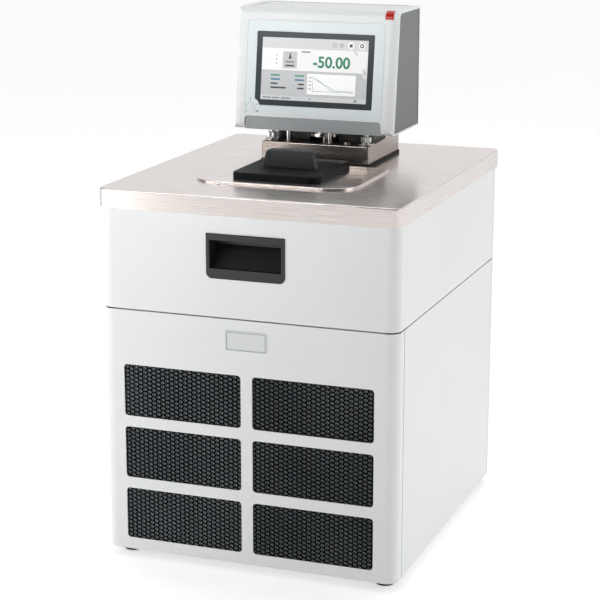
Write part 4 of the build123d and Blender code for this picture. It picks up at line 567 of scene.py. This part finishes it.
# Rows of bars in place of words: how far down, length of the label, length of the value, ink
READINGS = (
    (0.6, 0.085, 0.09, "ink_green"),
    (0.667, 0.09, 0.088, "ink_blue"),
    (0.735, 0.07, 0.055, "ink_dark"),
    (0.8, 0.15, 0.062, "ink_dark"),
)
LABEL_LEFT = 0.09
VALUE_RIGHT = 0.41
ROW_ABOVE = 0.012
ROW_BELOW = 0.014


def draw_readings(picture):
    for down, label, value, ink in READINGS:
        top = down - ROW_ABOVE
        low = down + ROW_BELOW
        picture.area(LABEL_LEFT, top, LABEL_LEFT + label, low, ink, TILE)
        picture.area(VALUE_RIGHT - value, top, VALUE_RIGHT, low, ink, TILE)


GRID_W = 0.25
AXIS_ACROSS = 0.493
AXIS_DOWN = 0.835
CURVE_START = (0.5, 0.615)
CURVE_BEND = (0.7, 0.815)


def draw_graph(picture):
    """White field with a faint grid, two axes and two falling lines."""
    picture.area(0.44, 0.56, 0.895, 0.885, "ink_bright", TILE)
    for down in (0.62, 0.68, 0.74, 0.8):
        picture.rule((0.5, down), (0.88, down), GRID_W, "ink_bar", MARK)
        picture.area(0.455, down - 0.008, 0.48, down + 0.008, "ink_mid", MARK)
    for across in (0.66, 0.84):
        picture.rule((across, 0.58), (across, 0.83), GRID_W, "ink_bar", MARK)
    picture.rule((AXIS_ACROSS, 0.58), (AXIS_ACROSS, 0.85), 0.5, "ink_mid", SIGN)
    picture.rule((AXIS_ACROSS, AXIS_DOWN), (0.88, AXIS_DOWN), 0.6, "ink_mid", SIGN)
    picture.rule(CURVE_START, CURVE_BEND, 0.65, "ink_blue", CURVE)
    picture.rule(CURVE_BEND, (0.875, 0.82), 0.65, "ink_blue", CURVE)
    picture.rule(CURVE_START, (0.675, 0.825), 0.5, "ink_green", CURVE)


FOOT_MARKS = ((0.02, 0.1), (0.11, 0.18), (0.2, 0.285))
TRIANGLE_SIDE = 2.6
TRIANGLE_LOW = 1.8


def draw_foot(picture):
    """Three short bars, a dot and a small triangle along the foot."""
    for left, right in FOOT_MARKS:
        picture.area(left, 0.955, right, 0.975, "ink_mid", TILE)
    picture.spot((0.47, 0.963), 1.0, "ink_dark", TILE)
    x, v = on_screen(0.9, 0.955)
    left = (x - TRIANGLE_SIDE, v - TRIANGLE_LOW)
    right = (x + TRIANGLE_SIDE, v - TRIANGLE_LOW)
    picture.field((left, right, (x, v + TRIANGLE_SIDE)), "ink_green", TILE)


# The numbers stand this many layers ahead of the glass
NUMBER_LAYERS = 3.5


def add_number(name, characters, size, place, look, thicken):
    """Plain characters set on the screen, turned into a mesh."""
    data = bpy.data.curves.new(name + "_set", "FONT")
    data.body = characters
    data.size = size * MM
    data.offset = thicken * MM
    holder = bpy.data.objects.new(name + "_set", data)
    bpy.context.scene.collection.objects.link(holder)
    bpy.context.view_layer.update()
    graph = bpy.context.evaluated_depsgraph_get()
    mesh = bpy.data.meshes.new_from_object(holder.evaluated_get(graph))
    bpy.data.objects.remove(holder)
    up = Vector((0.0, math.sin(LEAN), math.cos(LEAN)))
    out = Vector((0.0, -math.cos(LEAN), math.sin(LEAN)))
    turn = Matrix((Vector((1.0, 0.0, 0.0)), up, out)).transposed().to_4x4()
    depth = GLASS_FRONT - NUMBER_LAYERS * LAYER
    mesh.transform(Matrix.Translation(face_place(*on_screen(*place), depth)) @ turn)
    mesh.name = name
    mesh.materials.clear()
    mesh.materials.append(looks[look].material)
    piece = bpy.data.objects.new(name, mesh)
    bpy.context.scene.collection.objects.link(piece)
    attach(piece, "cabinet")


def make_screen():
    picture = Picture("screen_picture", GLASS_FRONT)
    draw_bands(picture)
    draw_icons(picture)
    draw_tiles(picture)
    draw_arrow(picture)
    draw_readings(picture)
    draw_graph(picture)
    draw_foot(picture)
    picture.finish("cabinet", "bezel_dark")
    add_number("screen_value", "-50.00", 21.5, (0.487, 0.452), "ink_value", 0.55)
    add_number("screen_unit", "°C", 7.0, (0.862, 0.232), "ink_mid", 0.05)


make_screen()

# Scale printed round the over-temperature dial
DIAL_X = -92.5
DIAL_V = 31.6
TICKS = 9
TICK_START = 225.0
TICK_STEP = 33.75
TICK_NEAR = 5.6
TICK_FAR = 7.6
TICK_W = 0.55
DOT_REACH = 9.6
DOT_R = 0.75

# Small marks beside the scale: left, low, right and high from the dial's middle, and ink
DIAL_MARKS = (
    (9.5, -6.8, 11.6, -4.6, "ink_dark"),
    (-2.4, 11.6, 0.6, 12.4, "ink_mid"),
)


def from_dial(angle, reach):
    """Place at a distance from the dial's middle."""
    return (DIAL_X + reach * math.cos(angle), DIAL_V + reach * math.sin(angle))


def make_dial_scale():
    """Ring of short ticks, a dot beyond every other tick, and two small marks."""
    sheet = Print("dial_scale", 0.0)
    for step in range(TICKS):
        angle = math.radians(TICK_START - TICK_STEP * step)
        sheet.line(from_dial(angle, TICK_NEAR), from_dial(angle, TICK_FAR), TICK_W, "ink_mid", GROUND)
        if step % 2 == 0:
            sheet.disc(from_dial(angle, DOT_REACH), DOT_R, "ink_mid", GROUND)
    for left, low, right, high, ink in DIAL_MARKS:
        sheet.box(DIAL_X + left, DIAL_V + low, DIAL_X + right, DIAL_V + high, ink, GROUND)
    # The inks glow a little, which on these printed marks is painted light
    sheet.finish("cabinet", "panel_film")


make_dial_scale()

# Thin grey border printed on the badge plate
BORDER_INSET = 1.3
BORDER_W = 0.7
BORDER_PROUD = 0.04


def make_badge_border():
    """Four strips, just ahead of the bare plate."""
    mesh = bmesh.new()
    plate_low, plate_high = box_mm("badge_plate")
    y = plate_low.y - BORDER_PROUD
    left = plate_low.x + BORDER_INSET
    right = plate_high.x - BORDER_INSET
    low = plate_low.z + BORDER_INSET
    high = plate_high.z - BORDER_INSET
    strips = (
        (left, right, low, low + BORDER_W),
        (left, right, high - BORDER_W, high),
        (left, left + BORDER_W, low + BORDER_W, high - BORDER_W),
        (right - BORDER_W, right, low + BORDER_W, high - BORDER_W),
    )
    for x_low, x_high, z_low, z_high in strips:
        corners = ((x_low, z_low), (x_high, z_low), (x_high, z_high), (x_low, z_high))
        mesh.faces.new([mesh.verts.new(Vector((x, y, z)) * MM) for x, z in corners])
    # The ink glows a little, which on this printed border is painted light
    new_piece("badge_border", mesh, "ink_mid", "vent_front")


make_badge_border()

# Knurled clamp screws on washers, between the bridge and the head
WASHER_R = 11.0
WASHER_H = 2.2
WASHER_SIDES = 40
COLLAR_R = 6.0
COLLAR_TOP = 3.2
COLLAR_SIDES = 32
KNURL_R = 7.4
KNURL_TOP = 11.4
KNURL_TEETH = 22
KNURL_DEEP = 0.55
STUD_R = 3.8
STUD_SIDES = 24

# Bevels of the washer, of the knurled wheel's foot and of its top: inwards and upwards
WASHER_BEVEL = (0.6, 0.5)
FOOT_BEVEL = (0.4, 0.6)
TOP_BEVEL = (0.6, 0.8)


def add_lathe(mesh, middle, steps, sides, tooth=0.0):
    """Turned form about an upright axis, its rim cut with teeth where tooth is set."""
    rings = []
    for radius, height in steps:
        ring = []
        for turn in range(sides):
            angle = math.tau * turn / sides
            reach = radius - (tooth if turn % 2 else 0.0)
            place = middle + Vector((reach * math.cos(angle), reach * math.sin(angle), height))
            ring.append(mesh.verts.new(place * MM))
        rings.append(ring)
    for lower, upper in zip(rings, rings[1:]):
        for turn in range(sides):
            following = (turn + 1) % sides
            mesh.faces.new((lower[turn], lower[following], upper[following], upper[turn]))
    mesh.faces.new(rings[0])
    mesh.faces.new(rings[-1])


def make_screws():
    """One washer, collar, knurled wheel and stud on either side, as steps of radius and height."""
    low, high = box_mm("clamp_screws")
    washer = (
        (WASHER_R - WASHER_BEVEL[0], 0.0),
        (WASHER_R, WASHER_BEVEL[1]),
        (WASHER_R, WASHER_H - WASHER_BEVEL[1]),
        (WASHER_R - WASHER_BEVEL[0], WASHER_H),
    )
    collar = ((COLLAR_R, WASHER_H), (COLLAR_R, COLLAR_TOP))
    knurl = (
        (KNURL_R - FOOT_BEVEL[0], COLLAR_TOP),
        (KNURL_R, COLLAR_TOP + FOOT_BEVEL[1]),
        (KNURL_R, KNURL_TOP - TOP_BEVEL[1]),
        (KNURL_R - TOP_BEVEL[0], KNURL_TOP),
    )
    stud = ((STUD_R, KNURL_TOP), (STUD_R, high.z - low.z))
    mesh = bmesh.new()
    for x in (low.x + WASHER_R, high.x - WASHER_R):
        middle = Vector((x, (low.y + high.y) / 2, low.z))
        add_lathe(mesh, middle, washer, WASHER_SIDES)
        add_lathe(mesh, middle, collar, COLLAR_SIDES)
        add_lathe(mesh, middle, knurl, 2 * KNURL_TEETH, KNURL_DEEP)
        add_lathe(mesh, middle, stud, STUD_SIDES)
    bmesh.ops.recalc_face_normals(mesh, faces=mesh.faces)
    piece = new_piece("knurled_screws", mesh, "nickel", "cabinet")
    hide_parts("clamp_screws")


make_screws()

# Studio, in metres
FLOOR_REACH = 30.0
FLOOR_PARTS = 8
FLOOR_PATCHES = 0.6
FLOOR_GLOW = 0.52
WHITE = (1.0, 1.0, 1.0, 1.0)


def make_floor():
    """Plain pale floor."""
    mesh = bmesh.new()
    bmesh.ops.create_grid(mesh, x_segments=FLOOR_PARTS, y_segments=FLOOR_PARTS, size=FLOOR_REACH)
    data = bpy.data.meshes.new("floor")
    mesh.to_mesh(data)
    mesh.free()
    floor = bpy.data.objects.new("floor", data)
    bpy.context.scene.collection.objects.link(floor)
    look = Look("floor_white", rough=0.9)
    patches = look.span(look.noise(FLOOR_PATCHES), 0.0, 1.0)
    look.colour(patches, shade(246, 246, 246), shade(243, 243, 243))
    look.dull(0.1)
    look.glow(WHITE, FLOOR_GLOW)
    data.materials.append(look.material)


# Strength of the surrounding light in front of the object and behind it
WORLD_FRONT = 0.1
WORLD_BEHIND = 0.95

# Between these shares of the direction along y the light goes from one strength to the other
FRONT_END = -0.6
BEHIND_START = 0.8


def make_world():
    world = bpy.data.worlds.new("studio")
    world.use_nodes = True
    bpy.context.scene.world = world
    tree = world.node_tree
    background = tree.nodes["Background"]
    background.inputs["Color"].default_value = WHITE
    direction = tree.nodes.new("ShaderNodeTexCoord")
    parts = tree.nodes.new("ShaderNodeSeparateXYZ")
    tree.links.new(direction.outputs["Generated"], parts.inputs["Vector"])
    span = tree.nodes.new("ShaderNodeMapRange")
    span.inputs["From Min"].default_value = FRONT_END
    span.inputs["From Max"].default_value = BEHIND_START
    span.inputs["To Min"].default_value = WORLD_FRONT
    span.inputs["To Max"].default_value = WORLD_BEHIND
    tree.links.new(parts.outputs["Y"], span.inputs["Value"])
    tree.links.new(span.outputs["Result"], background.inputs["Strength"])


def add_softbox(name, place, target, size, power, spread=math.pi):
    """Rectangular light that shines from a place at a target, itself unseen by the camera."""
    data = bpy.data.lights.new(name, "AREA")
    data.shape = "RECTANGLE"
    data.size, data.size_y = size
    data.energy = power
    data.spread = spread
    light = bpy.data.objects.new(name, data)
    light.location = place
    aim = Vector(target) - Vector(place)
    light.rotation_euler = aim.to_track_quat("-Z", "Y").to_euler()
    light.visible_camera = False
    bpy.context.scene.collection.objects.link(light)


make_floor()
make_world()
add_softbox("key_left", place=(-0.8, -0.8, 0.42), target=(-0.22, -0.24, 0.3), size=(0.6, 0.8), power=4.0)
add_softbox(
    "head_front", place=(-0.5, -1.2, 1.15), target=(0.0, 0.0, 0.68), size=(0.4, 0.4), power=0.3, spread=0.6
)
add_softbox("fill_right", place=(2.6, -0.2, 1.3), target=(0.2, 0.0, 0.35), size=(1.4, 1.6), power=11.0)
add_softbox("top", place=(-0.4, 0.6, 2.8), target=(0.0, 0.0, 0.3), size=(2.0, 1.6), power=14.0)

bpy.context.scene.view_settings.view_transform = "Standard"
